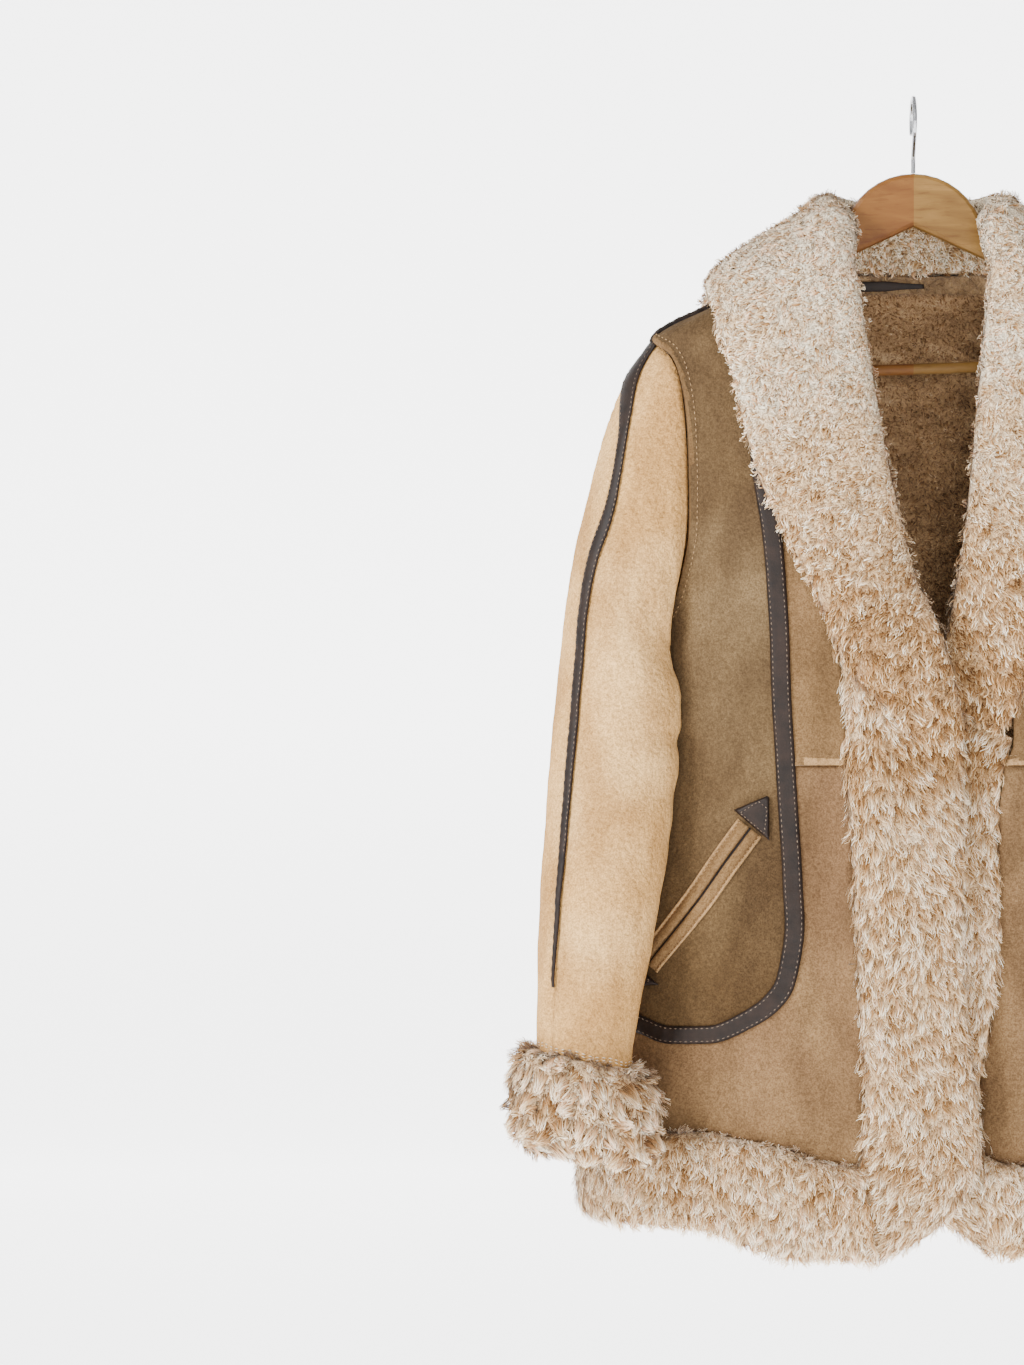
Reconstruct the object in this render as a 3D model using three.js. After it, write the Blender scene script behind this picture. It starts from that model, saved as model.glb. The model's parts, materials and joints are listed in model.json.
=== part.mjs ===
import * as THREE from "three";

// A shearling coat on a wooden hanger, in millimetres, at rest as it hangs. The front faces -Y, the
// wearer's right is on -X and +Z is up. The origin is the inside of the hook's top, where a rail
// carries it. "Away" is a distance from the centre line toward a piece's own side. "Turn" goes round
// the body: 0 at the side, 1 at the centre front, -1 at the centre back.

const SKIN = 8; // shearling: suede outside, clipped wool inside
const GAP = 0.32; // between two edges that are sewn together
const RIGHT = -1;
const LEFT = 1;
const RISE = 0.8; // how far the underside of what is sewn on a panel stands off it
const LEATHER = 2.2;
const FUR_BAND = 17; // fur on the front bands, above the suede
const FUR_HEM = 20;
const FUR_CUFF = 24;
const STRIP = 15.6; // width of the leather strips on the body
const STRIP_IN_CURVE = 14;
const SHOULDER_STRIP = 12.5;
const SIDE_POWER = 2.6; // how square the body's section is, across and in depth
const DEPTH_POWER = 2.3;
const LAP_OVER = 12.5; // the right front lies over the left one
const LAP_UNDER = -13.5;

const SHOULDER_Z = -192;
const PRINCESS_Z = -150; // where the princess seam meets the shoulder seam
const NECK_Z = -116;
const UNDERARM_Z = -422;
const WAIST_Z = -527.6;
const STRIP_SIDE_Z = -722; // where the strip runs into the side seam
const HEM_SEAM_Z = -815;
const HEM_BACK_Z = -886;

const LOOKS = {
  suede: { color: 0xb2947a, roughness: 0.95, metalness: 0 },
  fur: { color: 0xdcc6a6, roughness: 1, metalness: 0 },
  leather: { color: 0x4d423d, roughness: 0.55, metalness: 0 },
  wood: { color: 0xc6955a, roughness: 0.45, metalness: 0 },
  steel: { color: 0xb8b8b8, roughness: 0.3, metalness: 1 },
};

const coat = new THREE.Group();

const mix = (from, to, share) => from + (to - from) * share;
const power = (value, exponent) => Math.sign(value) * Math.abs(value) ** exponent;
const betweenPlaces = (one, other, share) => one.map((value, n) => mix(value, other[n], share));
const evenly = (from, to, cells) =>
  Array.from({ length: cells + 1 }, (_, i) => mix(from, to, i / cells));

function smooth(from, to, value) {
  const share = THREE.MathUtils.clamp((value - from) / (to - from), 0, 1);
  return share * share * (3 - 2 * share);
}

// Smooth curves through a table, keyed by its first column, with no overshoot between rows.
function profile(names, rows) {
  const sorted = [...rows].sort((one, other) => one[0] - other[0]);
  const keys = sorted.map((row) => row[0]);
  const columns = names.slice(1).map((_, c) => sorted.map((row) => row[c + 1]));
  const slopes = columns.map((values) => steadySlopes(keys, values));
  return (key) => {
    const at = THREE.MathUtils.clamp(key, keys[0], keys.at(-1));
    const i = Math.max(0, keys.findLastIndex((k, n) => k <= at && n < keys.length - 1));
    const width = keys[i + 1] - keys[i];
    const t = (at - keys[i]) / width;
    const rise = t * t * (3 - 2 * t);
    return Object.fromEntries(
      names.slice(1).map((name, c) => {
        const values = columns[c];
        const bend = slopes[c][i] * (t - 1) ** 2 * t + slopes[c][i + 1] * t * t * (t - 1);
        return [name, mix(values[i], values[i + 1], rise) + bend * width];
      }),
    );
  };
}

function steadySlopes(keys, values) {
  const steps = keys.slice(1).map((k, i) => (values[i + 1] - values[i]) / (k - keys[i]));
  return keys.map((_, i) => {
    if (i === 0) return steps[0];
    if (i === keys.length - 1) return steps[i - 1];
    const product = steps[i - 1] * steps[i];
    return product <= 0 ? 0 : (2 * product) / (steps[i - 1] + steps[i]);
  });
}

// The body

const bodySize = profile(
  ["z", "side", "front", "back"],
  [
    [-50, 56, 40, 42],
    [-95, 60, 44, 46],
    [-118, 80, 50, 50],
    [-141, 120, 54, 52],
    [-161, 155, 57, 54],
    [SHOULDER_Z, 207, 60, 56],
    [-231, 205, 66, 58],
    [-300, 203, 74, 60],
    [UNDERARM_Z, 200, 78, 62],
    [-586, 212, 80, 64],
    [-720, 236, 82, 66],
    [HEM_SEAM_Z, 248, 84, 68],
    [-925, 255, 86, 70],
  ],
);

// The largest folds of the body, as soft ridges and troughs, uneven and different on each side.
const BODY_FOLDS = [
  { side: RIGHT, turn: 0.3, z: -880, wide: 0.13, long: 90, lean: 0, rise: 4 },
  { side: RIGHT, turn: 0.56, z: -800, wide: 0.1, long: 95, lean: 0.0006, rise: -4 },
  { side: RIGHT, turn: -0.42, z: -830, wide: 0.15, long: 170, lean: 0.0002, rise: -6 },
  { side: RIGHT, turn: -0.72, z: -700, wide: 0.11, long: 210, lean: -0.0002, rise: 4 },
  { side: RIGHT, turn: -0.35, z: -330, wide: 0.12, long: 90, lean: 0.0005, rise: -3 },
  { side: LEFT, turn: 0.36, z: -870, wide: 0.12, long: 95, lean: 0, rise: 3.5 },
  { side: LEFT, turn: 0.6, z: -790, wide: 0.1, long: 80, lean: -0.0005, rise: -3.5 },
  { side: LEFT, turn: -0.5, z: -850, wide: 0.14, long: 150, lean: 0.0003, rise: -5 },
  { side: LEFT, turn: -0.8, z: -740, wide: 0.1, long: 180, lean: 0.0001, rise: 3.5 },
  { side: LEFT, turn: -0.4, z: -350, wide: 0.1, long: 100, lean: -0.0004, rise: -3.5 },
];

function bump(share) {
  return Math.exp(-share * share);
}

function bodyFold(side, turn, z) {
  const [own, way] = Math.abs(turn) > 1 ? [-side, Math.sign(turn) * 2 - turn] : [side, turn];
  return BODY_FOLDS.filter((fold) => fold.side === own).reduce((sum, fold) => {
    const off = (way - fold.turn - fold.lean * (z - fold.z)) / fold.wide;
    return sum + fold.rise * bump(off) * bump((z - fold.z) / fold.long);
  }, 0);
}

// How far a front stands off the body where the two lap, full from 32 mm before the centre on.
function lapLift(side, x, z) {
  const full = side === RIGHT ? LAP_OVER : LAP_UNDER;
  return full * smooth(-74, -32, -side * x) * smooth(-340, -440, z);
}

function toTurn(away, z) {
  const share = THREE.MathUtils.clamp(away / bodySize(z).side, -1, 1);
  return (2 / Math.PI) * Math.acos(power(share, SIDE_POWER / 2));
}

// A spot is a function that gives the point a lift above the suede.
const spotOf = (at, out) => (lift) => at.clone().addScaledVector(out, lift);

function bodySpot(side, turn, z) {
  const size = bodySize(z);
  const grow = { above: bodySize(z + 0.5), below: bodySize(z - 0.5) };
  const deep = turn < 0 ? "back" : "front";
  const angle = (turn * Math.PI) / 2;
  const shareX = power(Math.cos(angle), 2 / SIDE_POWER);
  const shareY = -power(Math.sin(angle), 2 / DEPTH_POWER);
  const slopeX = (SIDE_POWER * power(shareX, SIDE_POWER - 1)) / size.side;
  const slopeY = (DEPTH_POWER * power(shareY, DEPTH_POWER - 1)) / size[deep];
  const growX = (grow.above.side - grow.below.side) * shareX;
  const growY = (grow.above[deep] - grow.below[deep]) * shareY;
  const out = new THREE.Vector3(side * slopeX, slopeY, -slopeX * growX - slopeY * growY);
  out.normalize();
  const at = new THREE.Vector3(side * size.side * shareX, size[deep] * shareY, z);
  const lap = turn > 0 ? lapLift(side, at.x, z) : 0;
  at.addScaledVector(out, bodyFold(side, turn, z) + lap);
  return spotOf(at, out);
}

// Half the body's width at a depth, with the hem's fur added below the hem seam.
function bodyHalfWidth(y, z) {
  const size = bodySize(z);
  const fur = (FUR_HEM + 2) * smooth(-785, -818, z);
  const deep = (y < 0 ? size.front : size.back) + fur;
  const share = Math.min(1, Math.abs(y) / deep);
  return (size.side + fur) * (1 - share ** DEPTH_POWER) ** (1 / SIDE_POWER);
}

// Seams, as lists of [turn, z], which the pieces on both sides share

const armholeAway = profile(
  ["z", "away"],
  [
    [SHOULDER_Z, 207],
    [-203, 195],
    [-227, 186],
    [-266, 182],
    [-320, 180],
    [-370, 185],
    [UNDERARM_Z, 200],
  ],
);
const ARMHOLE_HEIGHTS = [SHOULDER_Z, -205, -225, -255, -295, -335, -375, -405, UNDERARM_Z];
const ARM_HALF = ARMHOLE_HEIGHTS.length - 1;
const ARM_CELLS = 2 * ARM_HALF; // cells round the armhole and the sleeve
const ARMHOLE = ARMHOLE_HEIGHTS.map((z) => [toTurn(armholeAway(z).away, z), z]);
ARMHOLE[0][0] = 0;
ARMHOLE[ARM_HALF][0] = 0;

const RIDGE_OUTER = evenly(SHOULDER_Z, PRINCESS_Z, 6).map((z) => [0, z]);
const RIDGE_INNER = evenly(PRINCESS_Z, NECK_Z, 3).map((z) => [0, z]);
const SIDE_UPPER = evenly(UNDERARM_Z, STRIP_SIDE_Z, 6).map((z) => [0, z]);
const SIDE_LOWER = evenly(STRIP_SIDE_Z, HEM_SEAM_Z, 5).map((z) => [0, z]);
const neckline = (turn) => mix(NECK_Z, -136, Math.sin((Math.abs(turn) * Math.PI) / 2));

const princessAway = profile(
  ["z", "away"],
  [
    [PRINCESS_Z, 137],
    [-200, 131],
    [-305, 122.5],
    [-367.7, 112.7],
    [-477, 108],
    [-578, 102.2],
    [-656, 98.5],
    [-680, 99.8],
    [-697, 105.5],
  ],
);
const curveHeight = profile(
  ["away", "z"],
  [
    [105.5, -697],
    [115.4, -712.5],
    [133.4, -725.7],
    [158.3, -737.4],
    [181.7, -740.5],
    [206, -737.4],
    [222.3, -729.6],
    [236.5, STRIP_SIDE_Z],
  ],
);
const CHEST_HEIGHTS = [-153.5, -161, -176, -202, -242, -292, -347, -407, -467, WAIST_Z];
const LOWER_HEIGHTS = [-575, -620, -660, -697];
const CURVE_AWAY = [116, 136, 165, 194, 218];
const PRINCESS = [
  [0, PRINCESS_Z],
  ...[...CHEST_HEIGHTS, ...LOWER_HEIGHTS].map((z) => [toTurn(princessAway(z).away, z), z]),
  ...CURVE_AWAY.map((away) => [away, curveHeight(away).z]).map(([away, z]) => [toTurn(away, z), z]),
  [0, STRIP_SIDE_Z],
];
const WAIST_INDEX = 10;
const CORNER_INDEX = 14;

// The front edge of the suede: under the collar to the band's top, then along the band.
const FRONTS = [
  {
    side: RIGHT,
    name: "right",
    edge: profile(
      ["z", "away"],
      [
        [-121, 80],
        [-133, 82],
        [-160, 86],
        [-205, 88],
        [-260, 84],
        [-320, 72],
        [-385, 62],
        [-445, 62],
        [-485, 59.3],
        [WAIST_Z, 58.5],
        [-590, 54.5],
        [-655, 50],
        [-720, 47.4],
        [-785, 44],
        [-840, 46],
      ],
    ),
    chestEdge: [-121, -133, -160, -205, -260, -320, -385, -445, -485, WAIST_Z],
    skirtEdge: [-590, -655, -720, -785, -840],
    bandStart: 8,
    bandFront: profile(
      ["station", "away", "z"],
      [
        [0, -29, -500],
        [1, -31, -522],
        [2, -31, -548],
        [3, -31, -596],
        [4, -31, -656],
        [5, -33, -721],
        [6, -40.5, -785],
        [7, -42, -826],
        [8, -32, -862],
        [9, -16, -882],
        [10, 8, -900],
        [11, 35, -912],
      ],
    ),
    hemSeam: profile(
      ["away", "z"],
      [
        [46, -840],
        [71, -838],
        [102, -828],
        [141, -820],
        [172, -814.6],
        [207, -816],
        [248, HEM_SEAM_Z],
      ],
    ),
    hemEdge: profile(
      ["away", "z"],
      [
        [35, -912],
        [94, -912],
        [125, -903],
        [147, -896.5],
        [168, -887],
        [207, -887.6],
        [248, -884],
      ],
    ),
  },
  {
    side: LEFT,
    name: "left",
    edge: profile(
      ["z", "away"],
      [
        [-121, 80],
        [-133, 82],
        [-160, 86],
        [-205, 88],
        [-260, 86],
        [-320, 78],
        [-385, 73],
        [-445, 72],
        [-507, 73],
        [WAIST_Z, 66],
        [-590, 60],
        [-655, 61],
        [-720, 56],
        [-785, 45],
        [-832, 49],
      ],
    ),
    chestEdge: [-121, -133, -160, -205, -260, -320, -385, -445, -507, WAIST_Z],
    skirtEdge: [-590, -655, -720, -785, -832],
    bandStart: 9,
    bandFront: profile(
      ["station", "away", "z"],
      [
        [0, -8, -478],
        [1, -22, -512],
        [2, -27, -584],
        [3, -28, -652],
        [4, -28, -718],
        [5, -28, -782],
        [6, -24, -820],
        [7, -12, -850],
        [8, 3, -872],
        [9, 24, -887],
        [10, 51, -907],
      ],
    ),
    hemSeam: profile(
      ["away", "z"],
      [
        [49, -832],
        [80, -841],
        [102, -836],
        [141, -826],
        [172, -819],
        [207, -817],
        [248, HEM_SEAM_Z],
      ],
    ),
    hemEdge: profile(
      ["away", "z"],
      [
        [51, -907],
        [66, -914.5],
        [80, -921],
        [102, -918],
        [125, -909],
        [147, -901],
        [168, -893],
        [207, -890],
        [248, -884],
      ],
    ),
  },
];
const PIVOTS = [0.35, 0.6, 0.8, 0.92, 1]; // where the band's last stations stand on its inner corner

function frontEdge(front) {
  const heights = [...front.chestEdge, ...front.skirtEdge];
  return [[0, NECK_Z], ...heights.map((z) => [toTurn(front.edge(z).away, z), z])];
}

// A grid of [turn, z] that fills the space between four lines of them. A higher pull keeps the
// bends of the top line close under it.
function fill(top, bottom, left, right, pull = 1) {
  const across = top.length - 1;
  const down = left.length - 1;
  const between = (i, j, n) => {
    const u = i / across;
    const v = j / down;
    const upper = mix(top[0][n], top[across][n], u);
    const lower = mix(bottom[0][n], bottom[across][n], u);
    const bends = (1 - v) ** pull * (top[i][n] - upper) + v * (bottom[i][n] - lower);
    return mix(left[j][n], right[j][n], u) + bends;
  };
  return left.map((_, j) => top.map((__, i) => [between(i, j, 0), between(i, j, 1)]));
}

const onBody = (side, grid) => grid.map((row) => row.map(([turn, z]) => bodySpot(side, turn, z)));

// Solids

function outward(spot) {
  return spot(0.5).sub(spot(-0.5));
}

// Moves the spots on the edges in by half the gap between sewn edges.
function pulledIn(grid, ring) {
  const down = grid.length - 1;
  const across = grid[0].length - 1;
  const at = (j, i) => {
    const row = ring ? (j + grid.length) % grid.length : THREE.MathUtils.clamp(j, 0, down);
    return grid[row][THREE.MathUtils.clamp(i, 0, across)](0);
  };
  const along = (j, i) => at(j + 1, i).sub(at(j - 1, i));
  const aside = (j, i) => at(j, i + 1).sub(at(j, i - 1));
  const [midJ, midI] = [Math.floor(down / 2), Math.floor(across / 2)];
  const facing = aside(midJ, midI).cross(along(midJ, midI)).dot(outward(grid[midJ][midI]));
  const hand = (Math.sign(facing) * GAP) / 2;
  return grid.map((row, j) =>
    row.map((spot, i) => {
      const shift = new THREE.Vector3();
      const out = outward(spot);
      if (i === 0 || i === across) {
        const way = along(j, i).cross(out).normalize();
        shift.addScaledVector(way, i === 0 ? hand : -hand);
      }
      if (!ring && (j === 0 || j === down)) {
        const way = out.clone().cross(aside(j, i)).normalize();
        shift.addScaledVector(way, j === 0 ? hand : -hand);
      }
      return (lift) => spot(lift).add(shift);
    }),
  );
}

// A closed solid over a grid of spots. lifts(across, down) gives its lower and upper lift.
function slab(name, look, grid, lifts, ring = false) {
  const down = grid.length - 1;
  const across = grid[0].length - 1;
  const loops = pulledIn(grid, ring).map((row, j) => {
    const ends = row.map((spot, i) => {
      const [low, high] = lifts(i / across, j / down);
      return [spot(low), spot(high)];
    });
    return [...ends.map((end) => end[1]), ...ends.map((end) => end[0]).reverse()];
  });
  addMesh(name, look, loftGeometry(loops, ring));
}

// Joins closed loops of points into one surface, closed by end faces or into a ring.
function loftGeometry(loops, ring) {
  const size = loops[0].length;
  const points = loops.flat();
  const triangles = [];
  // A quad is split along its shorter diagonal, or where they match along the one through its
  // highest corner, so that two edges sewn together are split alike.
  const quad = (a, b, c, d) => {
    const corners = [a, b, c, d].map((n) => points[n]);
    const excess = corners[0].distanceTo(corners[2]) - corners[1].distanceTo(corners[3]);
    const heights = corners.map(({ x, y, z }) => z + 0.37 * Math.abs(x) + 0.11 * y);
    const highest = heights.indexOf(Math.max(...heights)) % 2 === 0;
    const first = Math.abs(excess) < 0.5 ? highest : excess < 0;
    triangles.push(...(first ? [a, b, c, a, c, d] : [a, b, d, b, c, d]));
  };
  const steps = ring ? loops.length : loops.length - 1;
  for (let row = 0; row < steps; row += 1) {
    const next = ((row + 1) % loops.length) * size;
    for (let i = 0; i < size; i += 1) {
      const j = (i + 1) % size;
      quad(row * size + i, row * size + j, next + j, next + i);
    }
  }
  const last = (loops.length - 1) * size;
  for (let i = 0; !ring && i < size / 2 - 1; i += 1) {
    quad(i + 1, i, size - 1 - i, size - 2 - i);
    quad(last + i, last + i + 1, last + size - 2 - i, last + size - 1 - i);
  }
  const geometry = new THREE.BufferGeometry().setFromPoints(points);
  if (volumeOf(points, triangles) < 0) triangles.reverse();
  geometry.setIndex(triangles);
  geometry.computeVertexNormals();
  return geometry;
}

function volumeOf(points, triangles) {
  let volume = 0;
  for (let i = 0; i < triangles.length; i += 3) {
    const [a, b, c] = [0, 1, 2].map((n) => points[triangles[i + n]]);
    volume += a.dot(b.clone().cross(c)) / 6;
  }
  return volume;
}

function addMesh(name, look, geometry) {
  const mesh = new THREE.Mesh(geometry, new THREE.MeshStandardMaterial(LOOKS[look]));
  mesh.name = name;
  coat.add(mesh);
  return mesh;
}

const wall = () => [-SKIN, 0];
const leather = () => [RISE, RISE + LEATHER];
const dome = (share) => Math.sin(Math.PI * THREE.MathUtils.clamp(share, 0, 1)) ** 0.6;
// Fur over a shearling wall, rounded toward both edges.
const furred = (height) => (across) => [-SKIN, height * (0.4 + 0.6 * dome(across))];
const rounded = (cells) => evenly(0, Math.PI, cells).map((angle) => (1 - Math.cos(angle)) / 2);
const FUR_CELLS = 6;

// Sleeves

const sleeveRow = profile(
  ["down", "outer", "outerZ", "inner", "innerZ", "deep", "forward"],
  [
    [0, 207, -192, 200, -422, 42, 0],
    [26, 233, -231, 199, -428, 48, 2],
    [69, 256, -305, 196, -438, 55, 6],
    [115, 274, -383, 190, -452, 57, 13],
    [181, 285, -477, 183, -490, 54, 27],
    [274, 293, -570, 193, -580, 49, 47],
    [356, 298, -650, 208, -664, 43, 63],
    [456, 300, -748, 225, -764, 36, 78],
    [538, 301, -826, 222, -835, 36, 80],
  ],
);
const CUFF_AT = 456;
const CUFF_END = 538;
const SLEEVE_STATIONS = [13, 26, 47, 69, 92, 115, 148, 181, 228, 274, 315, 356, 406, CUFF_AT];
const STRIP_ANGLE = 47; // the strip runs this far in front of the sleeve's outermost line

const SLEEVE_FOLDS = [
  { side: RIGHT, down: 205, angle: 165, long: 26, wide: 60, rise: -6 },
  { side: RIGHT, down: 250, angle: 200, long: 22, wide: 55, rise: -5 },
  { side: RIGHT, down: 300, angle: 120, long: 30, wide: 50, rise: -4 },
  { side: RIGHT, down: 150, angle: 300, long: 40, wide: 45, rise: 3 },
  { side: LEFT, down: 215, angle: 150, long: 28, wide: 55, rise: -6 },
  { side: LEFT, down: 270, angle: 205, long: 24, wide: 60, rise: -4 },
  { side: LEFT, down: 330, angle: 130, long: 26, wide: 45, rise: -4 },
  { side: LEFT, down: 160, angle: 310, long: 35, wide: 50, rise: 3 },
];

function sleeveFold(side, down, angle) {
  return SLEEVE_FOLDS.filter((fold) => fold.side === side).reduce((sum, fold) => {
    const off = THREE.MathUtils.euclideanModulo(angle - fold.angle + 180, 360) - 180;
    return sum + fold.rise * bump(off / fold.wide) * bump((down - fold.down) / fold.long);
  }, 0);
}

// The sleeve's oval section, on its own side: angle 0 is outermost, 90 in front, 180 innermost.
function oval(down, angle) {
  const row = sleeveRow(down);
  const [cos, sin] = [Math.cos, Math.sin].map((f) => f(THREE.MathUtils.degToRad(angle)));
  const half = new THREE.Vector3(row.outer - row.inner, 0, row.outerZ - row.innerZ).divideScalar(2);
  const centre = new THREE.Vector3(row.outer + row.inner, 0, row.outerZ + row.innerZ);
  centre.divideScalar(2).setY(-row.forward);
  const out = half.clone().multiplyScalar(cos / half.lengthSq()).setY(-sin / row.deep);
  const at = centre.addScaledVector(half, cos).add(new THREE.Vector3(0, -row.deep * sin, 0));
  return { at, out: out.normalize() };
}

// The armhole as a loop of [turn, z] from the shoulder down the front and up the back.
function armholeLoop(k) {
  const [turn, z] = ARMHOLE[k <= ARM_HALF ? k : ARM_CELLS - k];
  return [k <= ARM_HALF ? turn : -turn, z];
}

// How far the armhole lies from the oval at the sleeve's top.
const ARMHOLE_OFF = Array.from({ length: ARM_CELLS }, (_, k) => {
  const [turn, z] = armholeLoop(k);
  return bodySpot(LEFT, turn, z)(0).sub(oval(0, (360 * k) / ARM_CELLS).at);
});

function armholeOff(angle) {
  const place = (THREE.MathUtils.euclideanModulo(angle, 360) * ARM_CELLS) / 360;
  const k = Math.floor(place);
  const next = ARMHOLE_OFF[(k + 1) % ARM_CELLS];
  return ARMHOLE_OFF[k % ARM_CELLS].clone().lerp(next, place - k);
}

const FREE_TOP = 40; // above the underarm the sleeve isn't held off the body
const CLEAR = { top: 0.6, arm: 4.6, cuff: 8.5, fur: 4.5 }; // from the body beside the sleeve

// How far the sleeve keeps from the body, at a lift above or below its suede.
function sleeveClear(down, lift) {
  const arm = CLEAR.arm * smooth(0, 70, down);
  const suede = CLEAR.top + arm + CLEAR.cuff * smooth(396, CUFF_AT, down);
  return lift > 0 ? mix(suede, CLEAR.fur, lift / FUR_CUFF) : suede - lift;
}

function sleevePoint(side, down, angle, lift) {
  const { at, out } = oval(down, angle);
  const fold = sleeveFold(side, down, angle) * smooth(10, 60, down);
  at.addScaledVector(armholeOff(angle), 1 - smooth(0, 110, down));
  at.addScaledVector(out, lift + fold);
  const freed = FREE_TOP * smooth(UNDERARM_Z + 2, UNDERARM_Z + 26, at.z);
  at.x = Math.max(at.x, bodyHalfWidth(at.y, at.z) + sleeveClear(down, lift) - freed);
  at.x *= side;
  return at;
}

const sleeveSpot = (side, down, angle) => (lift) => sleevePoint(side, down, angle, lift);
const stripAngle = (down) => STRIP_ANGLE * smooth(0, 80, down);

// Spots on the armhole, whose outward way is shared by the body's wall and the sleeve's.
function armholeSpots(side) {
  const points = Array.from({ length: ARM_CELLS }, (_, k) => {
    const [turn, z] = armholeLoop(k);
    return bodySpot(side, turn, z);
  });
  return points.map((spot, k) => {
    const at = spot(0);
    const body = outward(spot);
    const before = points[(k + ARM_CELLS - 1) % ARM_CELLS](0);
    const after = points[(k + 1) % ARM_CELLS](0);
    const out = sleevePoint(side, SLEEVE_STATIONS[1], (360 * k) / ARM_CELLS, 0).sub(at);
    const sleeve = after.sub(before).cross(out).multiplyScalar(side).normalize();
    const both = body.clone().add(sleeve).normalize();
    return spotOf(at, both.divideScalar(Math.max(0.75, both.dot(body))));
  });
}

for (const { side, name } of FRONTS) {
  const armhole = armholeSpots(side);
  for (const half of ["front", "back"]) {
    const first = half === "front" ? 0 : ARM_HALF;
    const columns = evenly(first, first + ARM_HALF, ARM_HALF);
    const top = columns.map((k) => armhole[k % ARM_CELLS]);
    const rows = SLEEVE_STATIONS.map((down) =>
      columns.map((k) => sleeveSpot(side, down, stripAngle(down) + (360 * k) / ARM_CELLS)),
    );
    slab(`${name}_sleeve_${half}`, "suede", [top, ...rows], wall);
  }

  const rings = evenly(0, 360, ARM_CELLS).slice(0, -1);
  const lengths = rounded(FUR_CELLS).map((share) => mix(CUFF_AT, CUFF_END, share));
  const cuff = rings.map((angle) =>
    lengths.map((down) => sleeveSpot(side, down, STRIP_ANGLE + angle)),
  );
  slab(`${name}_cuff`, "fur", cuff, furred(FUR_CUFF), true);
}

// Body panels

function withArmhole(side, grid, column, way) {
  const armhole = armholeSpots(side);
  for (let row = 0; row <= ARM_HALF; row += 1) {
    grid[row][column] = armhole[way > 0 ? row : (ARM_CELLS - row) % ARM_CELLS];
  }
  return grid;
}

const SKIRT_CELLS = { curve: 6, straight: 4, waist: 3 };
const HEM_WIDTH_Z = -830; // where the hem seam's distances from the centre are measured
const SKIRT_LOW = [0, 0.68, 0.8]; // where the skirt's columns meet the hem, in turns

for (const front of FRONTS) {
  const { side, name } = front;
  const edge = frontEdge(front);
  const curve = PRINCESS.slice(CORNER_INDEX).reverse();
  const sideSeam = [...ARMHOLE, ...SIDE_UPPER.slice(1)];
  const sideGrid = fill(RIDGE_OUTER, curve, sideSeam, PRINCESS.slice(0, CORNER_INDEX + 1));
  slab(`${name}_side_front`, "suede", withArmhole(side, onBody(side, sideGrid), 0, 1), wall);

  const waist = evenly(PRINCESS[WAIST_INDEX][0], edge[WAIST_INDEX][0], SKIRT_CELLS.waist);
  const waistLine = waist.map((turn) => [turn, WAIST_Z]);
  const chestSide = PRINCESS.slice(0, WAIST_INDEX + 1);
  const chestGrid = fill(RIDGE_INNER, waistLine, chestSide, edge.slice(0, WAIST_INDEX + 1));
  slab(`${name}_chest_front`, "suede", onBody(side, chestGrid), wall);

  const upward = PRINCESS.slice(WAIST_INDEX, CORNER_INDEX).reverse();
  const skirtTop = [...curve, ...upward, ...waistLine.slice(1)];
  const lastTurn = edge.at(-1)[0];
  const hemTurns = [
    ...evenly(SKIRT_LOW[0], SKIRT_LOW[1], SKIRT_CELLS.curve),
    ...evenly(SKIRT_LOW[1], SKIRT_LOW[2], SKIRT_CELLS.straight).slice(1),
    ...evenly(SKIRT_LOW[2], lastTurn, SKIRT_CELLS.waist).slice(1),
  ];
  const hemShare = (turn) => power(Math.cos((turn * Math.PI) / 2), 2 / SIDE_POWER);
  const hemAway = (turn) => bodySize(HEM_WIDTH_Z).side * hemShare(turn);
  const hemTop = hemTurns.map((turn) => [turn, front.hemSeam(hemAway(turn)).z]);
  hemTop[hemTop.length - 1] = edge.at(-1);
  const skirtGrid = fill(skirtTop, hemTop, SIDE_LOWER, edge.slice(WAIST_INDEX));
  slab(`${name}_skirt_front`, "suede", onBody(side, skirtGrid), wall);

  const band = frontBand(front, edge);
  // The band thins out where the collar lies over its top.
  const fullness = (down) => mix(0.36, 1, smooth(0.1, 0.3, down));
  const thinned = (across, down) => furred(FUR_BAND * fullness(down))(across);
  slab(`${name}_front_band`, "fur", onBody(side, band), thinned);

  const [endTurn, endZ] = band.at(-1).at(-1);
  const hemLow = hemTurns.map((turn, i) => {
    const share = (i / (hemTurns.length - 1)) ** 3;
    const z = front.hemEdge(hemAway(turn)).z;
    return [turn + (endTurn - lastTurn) * share, mix(z, endZ, share)];
  });
  const hem = hemTop.map((top, i) =>
    rounded(FUR_CELLS).map((share) => betweenPlaces(top, hemLow[i], share)),
  );
  slab(`${name}_hem_band`, "fur", onBody(side, hem), furred(FUR_HEM));
}

// Rows of [turn, z] across a front band, from the suede's edge to the front edge, pivoting round
// the hem's corner at the end.
function frontBand(front, edge) {
  const along = edge.slice(front.bandStart, -1);
  const [from, to] = edge.slice(-2);
  const pivots = PIVOTS.map((share) => betweenPlaces(from, to, share));
  return [...along, ...pivots].map((start, station) => {
    const { away, z } = front.bandFront(station);
    const end = [toTurn(away, z), z];
    return rounded(FUR_CELLS).map((share) => betweenPlaces(start, end, share));
  });
}

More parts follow.
